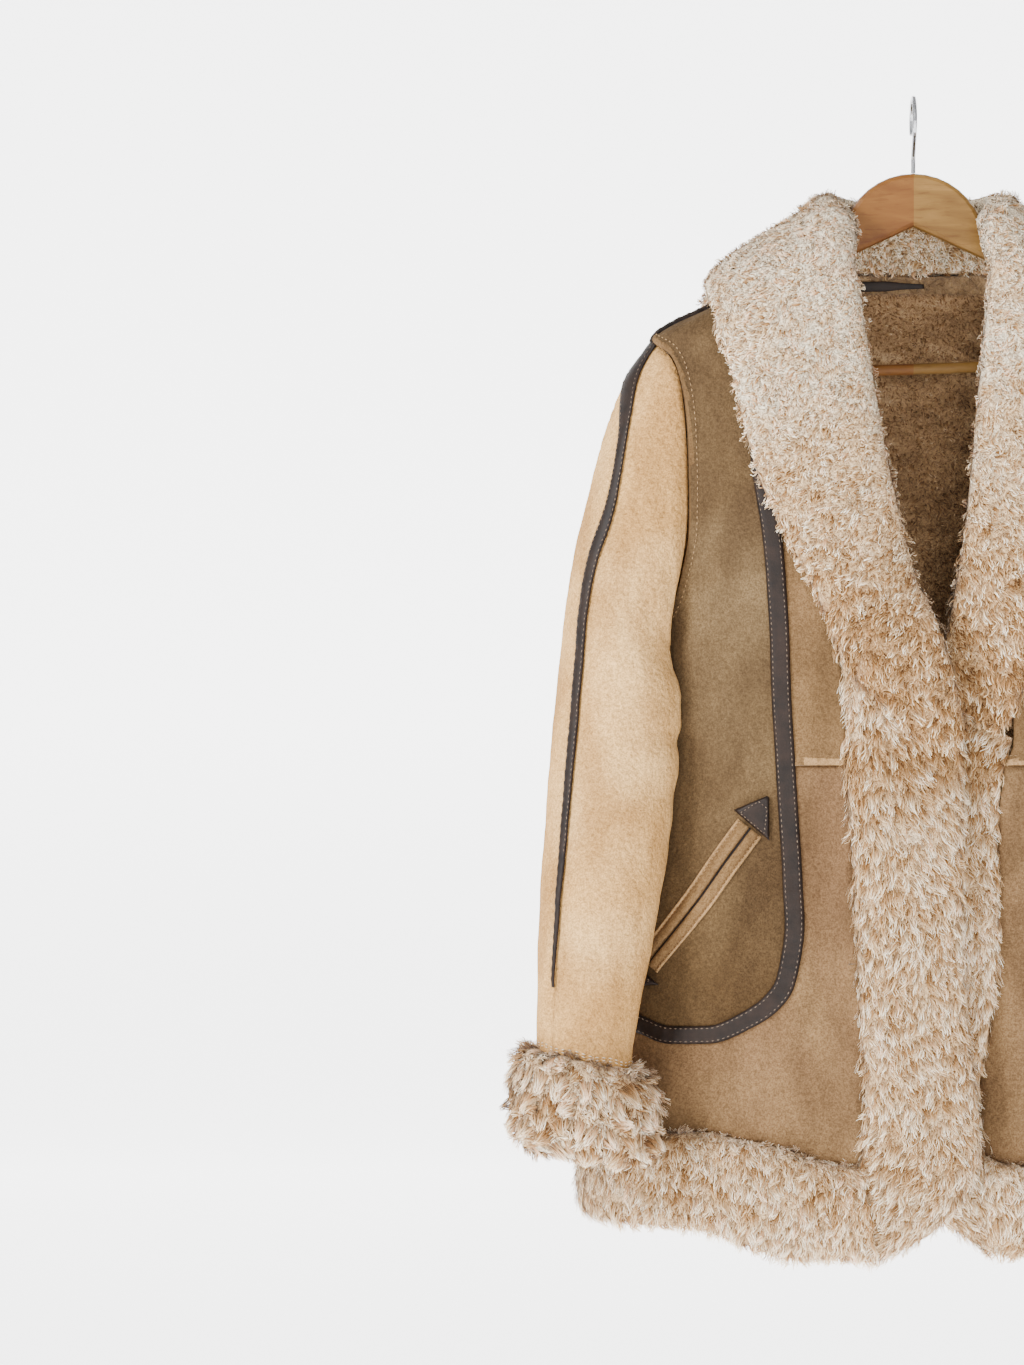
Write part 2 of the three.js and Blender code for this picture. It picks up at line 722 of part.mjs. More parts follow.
const NECK_CELLS = 8;
const neckLine = evenly(0, -2, NECK_CELLS).map((turn) => [turn, neckline(Math.min(-turn, 2 + turn))]);
const turned = (points) => points.map(([turn, z]) => [-2 - turn, z]);
const backRidge = [...RIDGE_OUTER, ...RIDGE_INNER.slice(1)];
const backTop = [...backRidge, ...neckLine.slice(1, -1), ...turned(backRidge).reverse()];
const backHem = evenly(0, -2, backTop.length - 1).map((turn) => [turn, HEM_SEAM_Z]);
const backSide = [
  ...ARMHOLE.map(([turn, z]) => [-turn, z]),
  ...SIDE_UPPER.slice(1),
  ...SIDE_LOWER.slice(1),
];
const backGrid = onBody(RIGHT, fill(backTop, backHem, backSide, turned(backSide), 6));
withArmhole(RIGHT, backGrid, 0, -1);
withArmhole(LEFT, backGrid, backTop.length - 1, -1);
slab("back", "suede", backGrid, wall);

const backHemLow = (turn) => HEM_BACK_Z + 2 * Math.sin(Math.PI * turn) ** 2;
const backHemGrid = backHem.map(([turn, z]) =>
  rounded(FUR_CELLS).map((share) => [turn, mix(z, backHemLow(turn), share)]),
);
slab("back_hem_band", "fur", onBody(RIGHT, backHemGrid), furred(FUR_HEM));

// Collar

const BACK_COLLAR = [
  { station: 9, inner: [0.45, -92], outer: [0.18, -166], base: 2.5, thick: 32 },
  { station: 10, inner: [0.05, -77], outer: [-0.1, -160], base: 3, thick: 30 },
  { station: 11, inner: [-0.35, -76], outer: [-0.42, -180], base: 3.5, thick: 30 },
  { station: 12, inner: [-0.7, -79], outer: [-0.7, -205], base: 3.5, thick: 29 },
  { station: 13, inner: [-1, -82], outer: [-1, -215], base: 3, thick: 28 },
];
// Inner is the edge beside the V of the neck and outer the edge on the shoulder, as away and z.
const FRONT_COLLAR = {
  right: [
    { station: 0, inner: [-34, -505], outer: [-6, -512], base: 9, thick: 9 },
    { station: 1, inner: [-26, -470], outer: [33, -477], base: 8.5, thick: 15 },
    { station: 2, inner: [-17, -437], outer: [58, -452], base: 8.5, thick: 20 },
    { station: 3, inner: [1, -391], outer: [79, -398], base: 6, thick: 24 },
    { station: 4, inner: [17, -330], outer: [104, -348], base: 2, thick: 28 },
    { station: 5, inner: [28, -280], outer: [124, -300], base: 2, thick: 29 },
    { station: 6, inner: [36, -230], outer: [137, -252], base: 2, thick: 30 },
    { station: 7, inner: [42, -190], outer: [147, -208], base: 2, thick: 31 },
    { station: 8, inner: [46, -155], outer: [152, -178], base: 2, thick: 32 },
  ],
  left: [
    { station: 0, inner: [9, -478], outer: [62, -500], base: 1.5, thick: 18 },
    { station: 1, inner: [12, -468], outer: [74, -483], base: 1.5, thick: 20 },
    { station: 2, inner: [16.5, -445], outer: [82, -458], base: 1.5, thick: 24 },
    { station: 3, inner: [27, -391], outer: [98, -408], base: 2, thick: 26 },
    { station: 4, inner: [36, -330], outer: [116, -352], base: 2, thick: 28 },
    { station: 5, inner: [41, -280], outer: [131, -302], base: 2, thick: 29 },
    { station: 6, inner: [46, -230], outer: [142, -252], base: 2, thick: 30 },
    { station: 7, inner: [50, -190], outer: [149, -208], base: 2, thick: 31 },
    { station: 8, inner: [53, -155], outer: [152, -178], base: 2, thick: 32 },
  ],
};
const COLLAR_ROWS = [...evenly(0, 2.5, 5), ...evenly(3, 8, 5), ...evenly(8.5, 13, 9)];
const COLLAR_CELLS = 8;
const OVER_STRIPS = 2.8; // how much the collar's outer half is raised to clear the leather below it

for (const { side, name } of FRONTS) {
  const asTurn = ([away, z]) => [toTurn(away, z), z];
  const row = ({ station, inner, outer, base, thick }) => [station, ...inner, ...outer, base, thick];
  const fronts = FRONT_COLLAR[name].map((entry) =>
    row({ ...entry, inner: asTurn(entry.inner), outer: asTurn(entry.outer) }),
  );
  const shape = profile(
    ["station", "innerTurn", "innerZ", "outerTurn", "outerZ", "base", "thick"],
    [...fronts, ...BACK_COLLAR.map(row)],
  );
  const grid = COLLAR_ROWS.map((station) => {
    const at = shape(station);
    return rounded(COLLAR_CELLS).map((share) => [
      mix(at.innerTurn, at.outerTurn, share),
      mix(at.innerZ, at.outerZ, share),
    ]);
  });
  const last = COLLAR_ROWS.length - 1;
  const lifts = (across, down) => {
    const station = COLLAR_ROWS[Math.round(down * last)];
    const { base, thick } = shape(station);
    const round = dome(across);
    const overStrips = OVER_STRIPS * smooth(0.45, 0.75, across) * smooth(3, 4, station);
    const low = base + thick * 0.15 * (1 - round) + overStrips;
    return [low, base + thick * (0.5 + 0.5 * round)];
  };
  slab(`${name}_collar`, "fur", onBody(side, grid), lifts);
}

// The stand inside the back neck, and the tape on the seam below it

const STAND = { top: -84, aboveSeam: 0.8, low: -12, high: -1 };
const stand = neckLine
  .slice(1, -1)
  .map(([turn, z]) => evenly(z + STAND.aboveSeam, STAND.top, 3).map((height) => [turn, height]));
slab("collar_stand", "fur", onBody(RIGHT, stand), () => [STAND.low, STAND.high]);

const TAPE = { from: -0.78, to: -1.03, top: -140, bottom: -148, low: -11, high: -9.2 };
const tape = [TAPE.from, -1, TAPE.to].map((turn) => [
  [turn, TAPE.top],
  [turn, TAPE.bottom],
]);
slab("neck_tape", "leather", onBody(RIGHT, tape), () => [TAPE.low, TAPE.high]);

// Leather strips

// The [turn, z] that lies a distance aside from a place on the body, across the way to the next.
function beside(side, place, next, distance) {
  const small = 0.01;
  const [turn, z] = place;
  const at = bodySpot(side, turn, z)(0);
  const perTurn = bodySpot(side, turn + small, z)(0).sub(at).divideScalar(small);
  const perZ = bodySpot(side, turn, z + small)(0).sub(at).divideScalar(small);
  const way = bodySpot(side, ...next)(0).sub(at);
  const out = outward(bodySpot(side, turn, z));
  const across = way.cross(out).normalize().multiplyScalar(distance * side);
  const [aa, ab, bb] = [perTurn.dot(perTurn), perTurn.dot(perZ), perZ.dot(perZ)];
  const [pa, pb] = [perTurn.dot(across), perZ.dot(across)];
  const scale = aa * bb - ab * ab;
  return [turn + (pa * bb - pb * ab) / scale, z + (pb * aa - pa * ab) / scale];
}

// Rows across a path on the body, at the given distances aside.
function alongPath(side, path, distances) {
  return path.map((place, i) => {
    const [from, to] = i < path.length - 1 ? [place, path[i + 1]] : [path[i - 1], place];
    const ahead = [place[0] + to[0] - from[0], place[1] + to[1] - from[1]];
    return distances(i).map((distance) => beside(side, place, ahead, distance));
  });
}

const stripWidth = profile(
  ["down", "width"],
  [
    [0, SHOULDER_STRIP],
    [90, SHOULDER_STRIP],
    [175, 9.4],
    [253, 7.8],
    [400, 2.3],
  ],
);

const PRINCESS_STRIP = { first: 0.9, last: 0.97, eased: 0.7 }; // shares of its end cells; lift at the side
const SLEEVE_STRIP = { from: 5, to: 400 };

for (const { side, name } of FRONTS) {
  const path = [betweenPlaces(PRINCESS[0], PRINCESS[1], PRINCESS_STRIP.first), ...PRINCESS.slice(1)];
  path[path.length - 1] = betweenPlaces(path.at(-2), path.at(-1), PRINCESS_STRIP.last);
  const halfWidth = (i) => {
    if (i < 4) return SHOULDER_STRIP / 2;
    return (i > CORNER_INDEX ? STRIP_IN_CURVE : STRIP) / 2;
  };
  const rows = alongPath(side, path, (i) => [-halfWidth(i), 0, halfWidth(i)]);
  const lifted = (down) => PRINCESS_STRIP.eased * smooth(0.6, 0.9, down);
  const eased = (_, down) => leather().map((lift) => lift + lifted(down));
  slab(`${name}_princess_strip`, "leather", onBody(side, rows), eased);

  const ridge = [[0, PRINCESS_Z + 3], ...RIDGE_OUTER.slice(1, -1).reverse(), [0, SHOULDER_Z]];
  const half = SHOULDER_STRIP / 2;
  const across = ridge.map(([turn, z]) => {
    const reach = (half / bodySize(z).front) ** (DEPTH_POWER / 2) * (2 / Math.PI);
    return [-reach, -reach / 2, 0, reach / 2, reach].map((aside) => [turn + aside, z]);
  });
  slab(`${name}_shoulder_strip`, "leather", onBody(side, across), leather);

  const downs = [SLEEVE_STRIP.from, ...SLEEVE_STATIONS.filter((down) => down < SLEEVE_STRIP.to)];
  const sleeve = downs.map((down) => {
    const reach = THREE.MathUtils.radToDeg(stripWidth(down).width / 2 / sleeveRow(down).deep);
    return [-reach, 0, reach].map((aside) => sleeveSpot(side, down, stripAngle(down) + aside));
  });
  slab(`${name}_sleeve_strip`, "leather", sleeve, leather);
}

// Pockets: two welts along a slanted slit, with a leather tab over each end

const SLIT = [
  [132.4, -577],
  [151.3, -603.3],
  [170, -630.6],
  [189.5, -656.3],
  [210.6, -684.4],
];
const WELTS = [
  { name: "upper", from: -12.5, to: -0.5 },
  { name: "lower", from: 0.5, to: 11 },
];
const WELT_HEIGHT = 3.4;
// Each tab is a triangle: the edge across the welts' ends, then the tip.
const TABS = [
  { name: "top", edge: [[145.2, -562.8], [117.6, -586.6]], tip: [117.6, -551] },
  { name: "bottom", edge: [[202.5, -700.5], [226, -680.5]], tip: [226.5, -704] },
];
const TAB_BLUNT = 0.94;

for (const { side, name } of FRONTS) {
  const onPanel = ([away, z]) => [toTurn(away, z), z];
  const slit = SLIT.map(onPanel);
  for (const welt of WELTS) {
    const rows = alongPath(side, slit, () => [welt.from, (welt.from + welt.to) / 2, welt.to]);
    const lifts = () => [RISE, RISE + WELT_HEIGHT];
    slab(`${name}_pocket_welt_${welt.name}`, "suede", onBody(side, rows), lifts);
  }
  for (const tab of TABS) {
    const rows = evenly(0, TAB_BLUNT, 3).map((rise) =>
      evenly(0, 1, 3).map((share) =>
        onPanel(betweenPlaces(betweenPlaces(...tab.edge, share), tab.tip, rise)),
      ),
    );
    slab(`${name}_pocket_tab_${tab.name}`, "leather", onBody(side, rows), leather);
  }
}

// The hanger: wooden shoulders with an arched head, a trouser bar and a wire hook

const WOOD = { thick: 14, bevel: 5, round: 3.5, clear: 0.9, end: 196 };
const BOSS = { inner: 176, low: -228 }; // the drop at each end that carries the bar
const HEAD = { radius: 57, z: -115.6, notch: -100.9 };
const BAR = { radius: 4.5, length: 351, z: -214, tilt: 2 };
const WIRE = { radius: 1.8, bend: 18.8, tip: -28, leave: 212, sides: 10, steps: 40 };

function woodOutline() {
  const under = [...RIDGE_OUTER.slice(2), ...RIDGE_INNER.slice(1)].map(([turn, z]) => {
    const at = bodySpot(LEFT, turn, z)(-SKIN - WOOD.clear);
    return [at.x, at.z];
  });
  const arch = evenly(2, 90, 9).map((angle) => {
    const radians = THREE.MathUtils.degToRad(angle);
    return [HEAD.radius * Math.cos(radians), HEAD.z + HEAD.radius * Math.sin(radians)];
  });
  const below = [
    [59, -128],
    [98, -151],
    [137, -173],
    [168, -190],
    [BOSS.inner, -194],
    [BOSS.inner, BOSS.low],
    [WOOD.end, BOSS.low],
    [WOOD.end, -205],
  ];
  const half = [...below, ...under, ...arch];
  const mirrored = half.slice(0, -1).reverse().map(([x, z]) => [-x, z]);
  return [[0, HEAD.notch], ...half, ...mirrored].map(([x, z]) => new THREE.Vector2(x, z));
}

const woodShape = new THREE.ExtrudeGeometry(new THREE.Shape(woodOutline()), {
  depth: WOOD.thick - 2 * WOOD.bevel,
  bevelThickness: WOOD.bevel,
  bevelSize: WOOD.round,
  bevelOffset: -WOOD.round,
  bevelSegments: 2,
});
woodShape.translate(0, 0, -(WOOD.thick / 2 - WOOD.bevel)).rotateX(Math.PI / 2);
addMesh("hanger_wood", "wood", woodShape);

const bar = new THREE.CylinderGeometry(BAR.radius, BAR.radius, BAR.length, 20);
bar.rotateZ(Math.PI / 2);
const barMesh = addMesh("hanger_bar", "wood", bar);
barMesh.rotation.y = -THREE.MathUtils.degToRad(BAR.tilt);
barMesh.position.z = BAR.z;

// The wire leaves the wood straight up, swings forward and bends over toward the back.
const bendCentre = WIRE.radius - WIRE.bend;
const stemFoot = HEAD.z + HEAD.radius + GAP;
const bent = evenly(WIRE.leave, WIRE.tip, 16).map((angle) => {
  const radians = THREE.MathUtils.degToRad(angle);
  return [WIRE.bend * Math.cos(radians), bendCentre + WIRE.bend * Math.sin(radians)];
});
const wirePath = [[0, stemFoot], [0, stemFoot + 6], [0, stemFoot + 12], ...bent];
const wire = new THREE.CatmullRomCurve3(wirePath.map(([y, z]) => new THREE.Vector3(0, y, z)));
const wireSection = new THREE.Shape(
  evenly(0, 2 * Math.PI, WIRE.sides)
    .slice(0, -1)
    .map((a) => new THREE.Vector2(WIRE.radius * Math.cos(a), WIRE.radius * Math.sin(a))),
);
const hook = new THREE.ExtrudeGeometry(wireSection, { steps: WIRE.steps, extrudePath: wire });
addMesh("hanger_hook", "steel", hook);

export default coat;
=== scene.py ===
# %% [markdown]
# A shearling coat on a wooden hanger. Its cloth is hide about 8 mm thick: suede outside, clipped
# brown wool inside. Long cream wool makes the shawl collar, the front bands, the hem and the cuffs,
# and dark leather strips cover the seams. The imported model gives the size of every piece, so the
# scene starts by loading it.

# %% Load the frame
import json
import math

import bmesh
import bpy
import numpy as np
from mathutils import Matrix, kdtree

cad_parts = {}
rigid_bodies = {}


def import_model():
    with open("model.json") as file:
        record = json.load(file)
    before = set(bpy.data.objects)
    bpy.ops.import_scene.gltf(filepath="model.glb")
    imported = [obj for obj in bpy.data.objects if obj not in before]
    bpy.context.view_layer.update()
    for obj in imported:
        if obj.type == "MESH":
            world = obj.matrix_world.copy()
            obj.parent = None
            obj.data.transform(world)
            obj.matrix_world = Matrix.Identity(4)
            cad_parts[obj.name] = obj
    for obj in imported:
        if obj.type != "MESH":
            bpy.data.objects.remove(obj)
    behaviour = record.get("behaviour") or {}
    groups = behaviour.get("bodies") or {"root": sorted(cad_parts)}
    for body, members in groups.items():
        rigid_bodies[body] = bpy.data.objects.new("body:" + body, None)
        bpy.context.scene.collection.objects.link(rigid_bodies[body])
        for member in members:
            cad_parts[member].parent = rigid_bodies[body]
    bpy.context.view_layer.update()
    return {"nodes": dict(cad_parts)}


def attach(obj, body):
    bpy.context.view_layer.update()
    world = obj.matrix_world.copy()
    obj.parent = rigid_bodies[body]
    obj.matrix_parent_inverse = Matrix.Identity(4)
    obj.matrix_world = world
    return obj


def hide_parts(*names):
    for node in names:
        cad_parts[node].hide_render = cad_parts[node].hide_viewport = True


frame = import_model()
MM = 0.001
RIGHT, LEFT = -1, 1
SIDES = {"right": RIGHT, "left": LEFT}
print("nodes", len(frame["nodes"]))

# %% [markdown]
# The camera looks straight along +Y at the coat's front, from so far that the lines stay nearly
# parallel. The picture cuts the coat's left side off, so the camera stands to its right.

# %% Camera
VIEW_X, VIEW_Z, VIEW_Y = -0.319, -0.463, -0.080
VIEW_TALL, VIEW_FAR, SENSOR = 1.065, 4.2, 36
camera_data = bpy.data.cameras.new("camera")
camera_data.sensor_width = SENSOR
camera_data.lens = SENSOR * VIEW_FAR / VIEW_TALL
camera = bpy.data.objects.new("camera", camera_data)
camera.location = (VIEW_X, VIEW_Y - VIEW_FAR, VIEW_Z)
camera.rotation_euler = (math.pi / 2, 0, 0)
bpy.context.scene.collection.objects.link(camera)
bpy.context.scene.camera = camera
print("lens", round(camera_data.lens, 1))

# %% [markdown]
# A coat's outline changes from the neck to the hem, so its measures stand in short tables. A smooth
# curve that never overshoots runs through each table, which keeps the cloth free of waves that
# nobody cut into it.


# %% Curves through tables
def smooth(start, end, value):
    share = np.clip((np.asarray(value, float) - start) / (end - start), 0, 1)
    return share * share * (3 - 2 * share)


def power(value, exponent):
    return np.sign(value) * np.abs(value) ** exponent


def mix(one, other, share):
    return one + (other - one) * share


def table(rows):
    rows = np.array(sorted(rows), float)
    keys, values = rows[:, 0], rows[:, 1:]
    steps = np.diff(values, axis=0) / np.diff(keys)[:, None]
    product, total = steps[:-1] * steps[1:], steps[:-1] + steps[1:]
    inner = np.where(product > 0, 2 * product / np.where(total == 0, 1, total), 0)
    slopes = np.concatenate([steps[:1], inner, steps[-1:]])

    def at(key):
        key = np.clip(np.asarray(key, float), keys[0], keys[-1])
        i = np.clip(np.searchsorted(keys, key, side="right") - 1, 0, len(keys) - 2)
        width = (keys[i + 1] - keys[i])[..., None]
        t = (key - keys[i])[..., None] / width
        rise = t * t * (3 - 2 * t)
        bend = slopes[i] * (t - 1) ** 2 * t + slopes[i + 1] * t * t * (t - 1)
        return np.moveaxis(mix(values[i], values[i + 1], rise) + bend * width, -1, 0)

    return at


print("a smooth step at its middle", float(smooth(0, 1, 0.5)))

# %% [markdown]
# The body is a tube with a squarish oval section. A place on it is a turn (0 at the side, 1 at the
# centre front, -1 at the centre back) and a height z. These are the part's own measures, so the
# dressed cloth lies exactly where the solids are.

# %% The body's form
SIDE_POWER, DEPTH_POWER = 2.6, 2.3
SHOULDER_Z, PRINCESS_Z, NECK_Z = -192, -150, -116
UNDERARM_Z, WAIST_Z, STRIP_SIDE_Z, HEM_SEAM_Z, HEM_BACK_Z = -422, -527.6, -722, -815, -886
SKIN = 8
body_size = table([
    [-50, 56, 40, 42], [-95, 60, 44, 46], [-118, 80, 50, 50], [-141, 120, 54, 52],
    [-161, 155, 57, 54], [SHOULDER_Z, 207, 60, 56], [-231, 205, 66, 58], [-300, 203, 74, 60],
    [UNDERARM_Z, 200, 78, 62], [-586, 212, 80, 64], [-720, 236, 82, 66],
    [HEM_SEAM_Z, 248, 84, 68], [-925, 255, 86, 70],
])
# side, turn, z, width in turns, half length, lean, rise
BODY_FOLDS = [
    (RIGHT, 0.3, -880, 0.13, 90, 0, 4), (RIGHT, 0.56, -800, 0.1, 95, 0.0006, -4),
    (RIGHT, -0.42, -830, 0.15, 170, 0.0002, -6), (RIGHT, -0.72, -700, 0.11, 210, -0.0002, 4),
    (RIGHT, -0.35, -330, 0.12, 90, 0.0005, -3), (LEFT, 0.36, -870, 0.12, 95, 0, 3.5),
    (LEFT, 0.6, -790, 0.1, 80, -0.0005, -3.5), (LEFT, -0.5, -850, 0.14, 150, 0.0003, -5),
    (LEFT, -0.8, -740, 0.1, 180, 0.0001, 3.5), (LEFT, -0.4, -350, 0.1, 100, -0.0004, -3.5),
]


def bump(share):
    return np.exp(-share * share)


def body_fold(side, turn, z):
    over = np.abs(turn) > 1
    own = np.where(over, -side, side)
    way = np.where(over, np.sign(turn) * 2 - turn, turn)
    total = np.zeros(np.shape(turn))
    for fold_side, at, height, wide, half, lean, rise in BODY_FOLDS:
        off = (way - at - lean * (z - height)) / wide
        total += (own == fold_side) * rise * bump(off) * bump((z - height) / half)
    return total


def lap_lift(side, x, z):
    full = 12.5 if side == RIGHT else -13.5
    return full * (1 - smooth(32, 74, side * x)) * (1 - smooth(-440, -340, z))


def body(side, turn, z, lift=0.0):
    """Points and outward directions on the body, in mm."""
    turn, z, lift = np.broadcast_arrays(np.asarray(turn, float), np.asarray(z, float), lift)
    half, front, back = body_size(z)
    above, below = body_size(z + 0.5), body_size(z - 0.5)
    deep = np.where(turn < 0, back, front)
    grow = np.where(turn < 0, above[2] - below[2], above[1] - below[1])
    across, along = np.cos(turn * np.pi / 2), np.sin(turn * np.pi / 2)
    share_x, share_y = power(across, 2 / SIDE_POWER), -power(along, 2 / DEPTH_POWER)
    slope_x = SIDE_POWER * power(share_x, SIDE_POWER - 1) / half
    slope_y = DEPTH_POWER * power(share_y, DEPTH_POWER - 1) / deep
    slope_z = -slope_x * (above[0] - below[0]) * share_x - slope_y * grow * share_y
    out = np.stack([side * slope_x, slope_y, slope_z], -1)
    out /= np.linalg.norm(out, axis=-1, keepdims=True)
    at = np.stack([side * half * share_x, deep * share_y, z], -1)
    lap = np.where(turn > 0, lap_lift(side, at[..., 0], z), 0)
    return at + out * (lift + body_fold(side, turn, z) + lap)[..., None], out


def to_turn(away, z):
    share = np.clip(np.asarray(away, float) / body_size(z)[0], -1, 1)
    return 2 / np.pi * np.arccos(power(share, SIDE_POWER / 2))


def placed(rows):
    """Places on the body from rows of the distance away from the middle and z."""
    rows = np.asarray(rows, float)
    return np.stack([to_turn(rows[..., 0], rows[..., 1]), rows[..., 1]], -1)


print("half width at the waist, mm", round(float(body_size(WAIST_Z)[0]), 1))

# %% [markdown]
# Seams are lists of places that both neighbours share. Each list is read along its own numbers, so
# a fine grid and a coarse one pass through the same points.

# %% Seams of the body
armhole_away = table([
    [SHOULDER_Z, 207], [-203, 195], [-227, 186], [-266, 182], [-320, 180], [-370, 185],
    [UNDERARM_Z, 200],
])
ARM_HEIGHTS = np.array([SHOULDER_Z, -205, -225, -255, -295, -335, -375, -405, UNDERARM_Z], float)
ARM_HALF = len(ARM_HEIGHTS) - 1
ARMHOLE = placed(np.stack([armhole_away(ARM_HEIGHTS)[0], ARM_HEIGHTS], -1))
ARMHOLE[[0, -1], 0] = 0


def line(start, end, cells):
    return np.stack([np.zeros(cells + 1), np.linspace(start, end, cells + 1)], -1)


RIDGE_OUTER, RIDGE_INNER = line(SHOULDER_Z, PRINCESS_Z, 6), line(PRINCESS_Z, NECK_Z, 3)
SIDE_UPPER, SIDE_LOWER = line(UNDERARM_Z, STRIP_SIDE_Z, 6), line(STRIP_SIDE_Z, HEM_SEAM_Z, 5)
princess_away = table([
    [PRINCESS_Z, 137], [-200, 131], [-305, 122.5], [-367.7, 112.7], [-477, 108], [-578, 102.2],
    [-656, 98.5], [-680, 99.8], [-697, 105.5],
])
curve_height = table([
    [105.5, -697], [115.4, -712.5], [133.4, -725.7], [158.3, -737.4], [181.7, -740.5],
    [206, -737.4], [222.3, -729.6], [236.5, STRIP_SIDE_Z],
])
STRIP_HEIGHTS = np.array([-153.5, -161, -176, -202, -242, -292, -347, -407, -467, WAIST_Z,
                          -575, -620, -660, -697])
CURVE_AWAY = np.array([116, 136, 165, 194, 218], float)
PRINCESS = np.concatenate([
    [[0, PRINCESS_Z]],
    placed(np.stack([princess_away(STRIP_HEIGHTS)[0], STRIP_HEIGHTS], -1)),
    placed(np.stack([CURVE_AWAY, curve_height(CURVE_AWAY)[0]], -1)),
    [[0, STRIP_SIDE_Z]],
])
WAIST_AT, CORNER_AT = 10, 14
print("princess seam places", len(PRINCESS))

# %% [markdown]
# The fronts' free edges and the wool bands along them differ, since the right front laps over the
# left. The parts that the photo shows were measured on it, and the rest continues them.

# %% Edges of the fronts
# edge and band_front are rows of (away, z), the hem's seam and edge are tables of z by away
FRONTS = {
    "right": {
        "edge": [
            [80, -121], [82, -133], [86, -160], [88, -205], [84, -260], [72, -320], [62, -385],
            [62, -445], [59.3, -485], [58.5, WAIST_Z], [54.5, -590], [50, -655], [47.4, -720],
            [44, -785], [46, -840],
        ],
        "band_start": 8,
        "band_front": [
            [-29, -500], [-31, -522], [-31, -548], [-31, -596], [-31, -656], [-33, -721],
            [-40.5, -785], [-42, -826], [-32, -862], [-16, -882], [8, -900], [35, -912],
        ],
        "hem_seam": table([
            [46, -840], [71, -838], [102, -828], [141, -820], [172, -814.6], [207, -816],
            [248, HEM_SEAM_Z],
        ]),
        "hem_edge": table([
            [35, -912], [94, -912], [125, -903], [147, -896.5], [168, -887], [207, -887.6],
            [248, -884],
        ]),
    },
    "left": {
        "edge": [
            [80, -121], [82, -133], [86, -160], [88, -205], [86, -260], [78, -320], [73, -385],
            [72, -445], [73, -507], [66, WAIST_Z], [60, -590], [61, -655], [56, -720], [45, -785],
            [49, -832],
        ],
        "band_start": 9,
        "band_front": [
            [-8, -478], [-22, -512], [-27, -584], [-28, -652], [-28, -718], [-28, -782],
            [-24, -820], [-12, -850], [3, -872], [24, -887], [51, -907],
        ],
        "hem_seam": table([
            [49, -832], [80, -841], [102, -836], [141, -826], [172, -819], [207, -817],
            [248, HEM_SEAM_Z],
        ]),
        "hem_edge": table([
            [51, -907], [66, -914.5], [80, -921], [102, -918], [125, -909], [147, -901],
            [168, -893], [207, -890], [248, -884],
        ]),
    },
}


def front_edge(front):
    return np.concatenate([[[0, NECK_Z]], placed(front["edge"])])


print("places on each front's edge", [len(front_edge(front)) for front in FRONTS.values()])

# %% [markdown]
# A panel is filled between its four seams, so neighbouring panels meet without a gap. The coarse
# grid stands on the seams' own places, and the same smooth curves make it finer.


# %% Panels between seams
def along(points, shares):
    """Reads a list of places at shares of its length in numbers."""
    keyed = table([[i, *row] for i, row in enumerate(np.asarray(points, float))])
    return np.moveaxis(keyed(np.asarray(shares) * (len(points) - 1)), 0, -1)


def fill(top, bottom, left, right, finer_across, finer_down, pull=1):
    """A grid of places between four seams: a coarse one on their places, then made finer.

    A higher pull keeps the top seam's bends close under it.
    """
    u, v = np.linspace(0, 1, len(top))[None, :, None], np.linspace(0, 1, len(left))[:, None, None]
    t, b = np.asarray(top, float)[None], np.asarray(bottom, float)[None]
    lf, r = np.asarray(left, float)[:, None], np.asarray(right, float)[:, None]
    top_bend, bottom_bend = t - mix(t[:, :1], t[:, -1:], u), b - mix(b[:, :1], b[:, -1:], u)
    coarse = mix(lf, r, u) + (1 - v) ** pull * top_bend + v * bottom_bend
    across = np.linspace(0, 1, (len(top) - 1) * finer_across + 1)
    down = np.linspace(0, 1, (len(left) - 1) * finer_down + 1)
    rows = np.stack([along(row, across) for row in coarse])
    return np.stack([along(column, down) for column in np.moveaxis(rows, 1, 0)], 1)


print("the armhole's middle", along(ARMHOLE, 0.5).round(2))

# %% [markdown]
# The sleeves are oval tubes that start on the armhole and swing forward as they hang. A place on
# one is a distance down from the shoulder and an angle round it: 0 outermost, 90 in front.

# %% The sleeves' form
sleeve_row = table([
    [0, 207, -192, 200, -422, 42, 0], [26, 233, -231, 199, -428, 48, 2],
    [69, 256, -305, 196, -438, 55, 6], [115, 274, -383, 190, -452, 57, 13],
    [181, 285, -477, 183, -490, 54, 27], [274, 293, -570, 193, -580, 49, 47],
    [356, 298, -650, 208, -664, 43, 63], [456, 300, -748, 225, -764, 36, 78],
    [538, 301, -826, 222, -835, 36, 80],
])
CUFF_AT, CUFF_END, STRIP_ANGLE = 456, 538, 47
FUR_CUFF, FUR_HEM, FUR_BAND = 24, 20, 17
# down, angle, half length, width in degrees, rise
SLEEVE_FOLDS = {
    RIGHT: [
        (205, 165, 26, 60, -6), (250, 200, 22, 55, -5), (300, 120, 30, 50, -4),
        (150, 300, 40, 45, 3),
    ],
    LEFT: [
        (215, 150, 28, 55, -6), (270, 205, 24, 60, -4), (330, 130, 26, 45, -4),
        (160, 310, 35, 50, 3),
    ],
}
SOFTER = 0.4  # the hide rounds the folds off


def wrapped(angle):
    return np.mod(angle + 180, 360) - 180


def oval(down, angle):
    outer, outer_z, inner, inner_z, deep, forward = sleeve_row(down)
    cos, sin = np.cos(np.radians(angle)), np.sin(np.radians(angle))
    half_x, half_z = (outer - inner) / 2, (outer_z - inner_z) / 2
    long = half_x**2 + half_z**2
    out = np.stack([half_x * cos / long, -sin / deep, half_z * cos / long], -1)
    out /= np.linalg.norm(out, axis=-1, keepdims=True)
    at = np.stack([(outer + inner) / 2 + half_x * cos, -forward - deep * sin,
                   (outer_z + inner_z) / 2 + half_z * cos], -1)
    return at, out


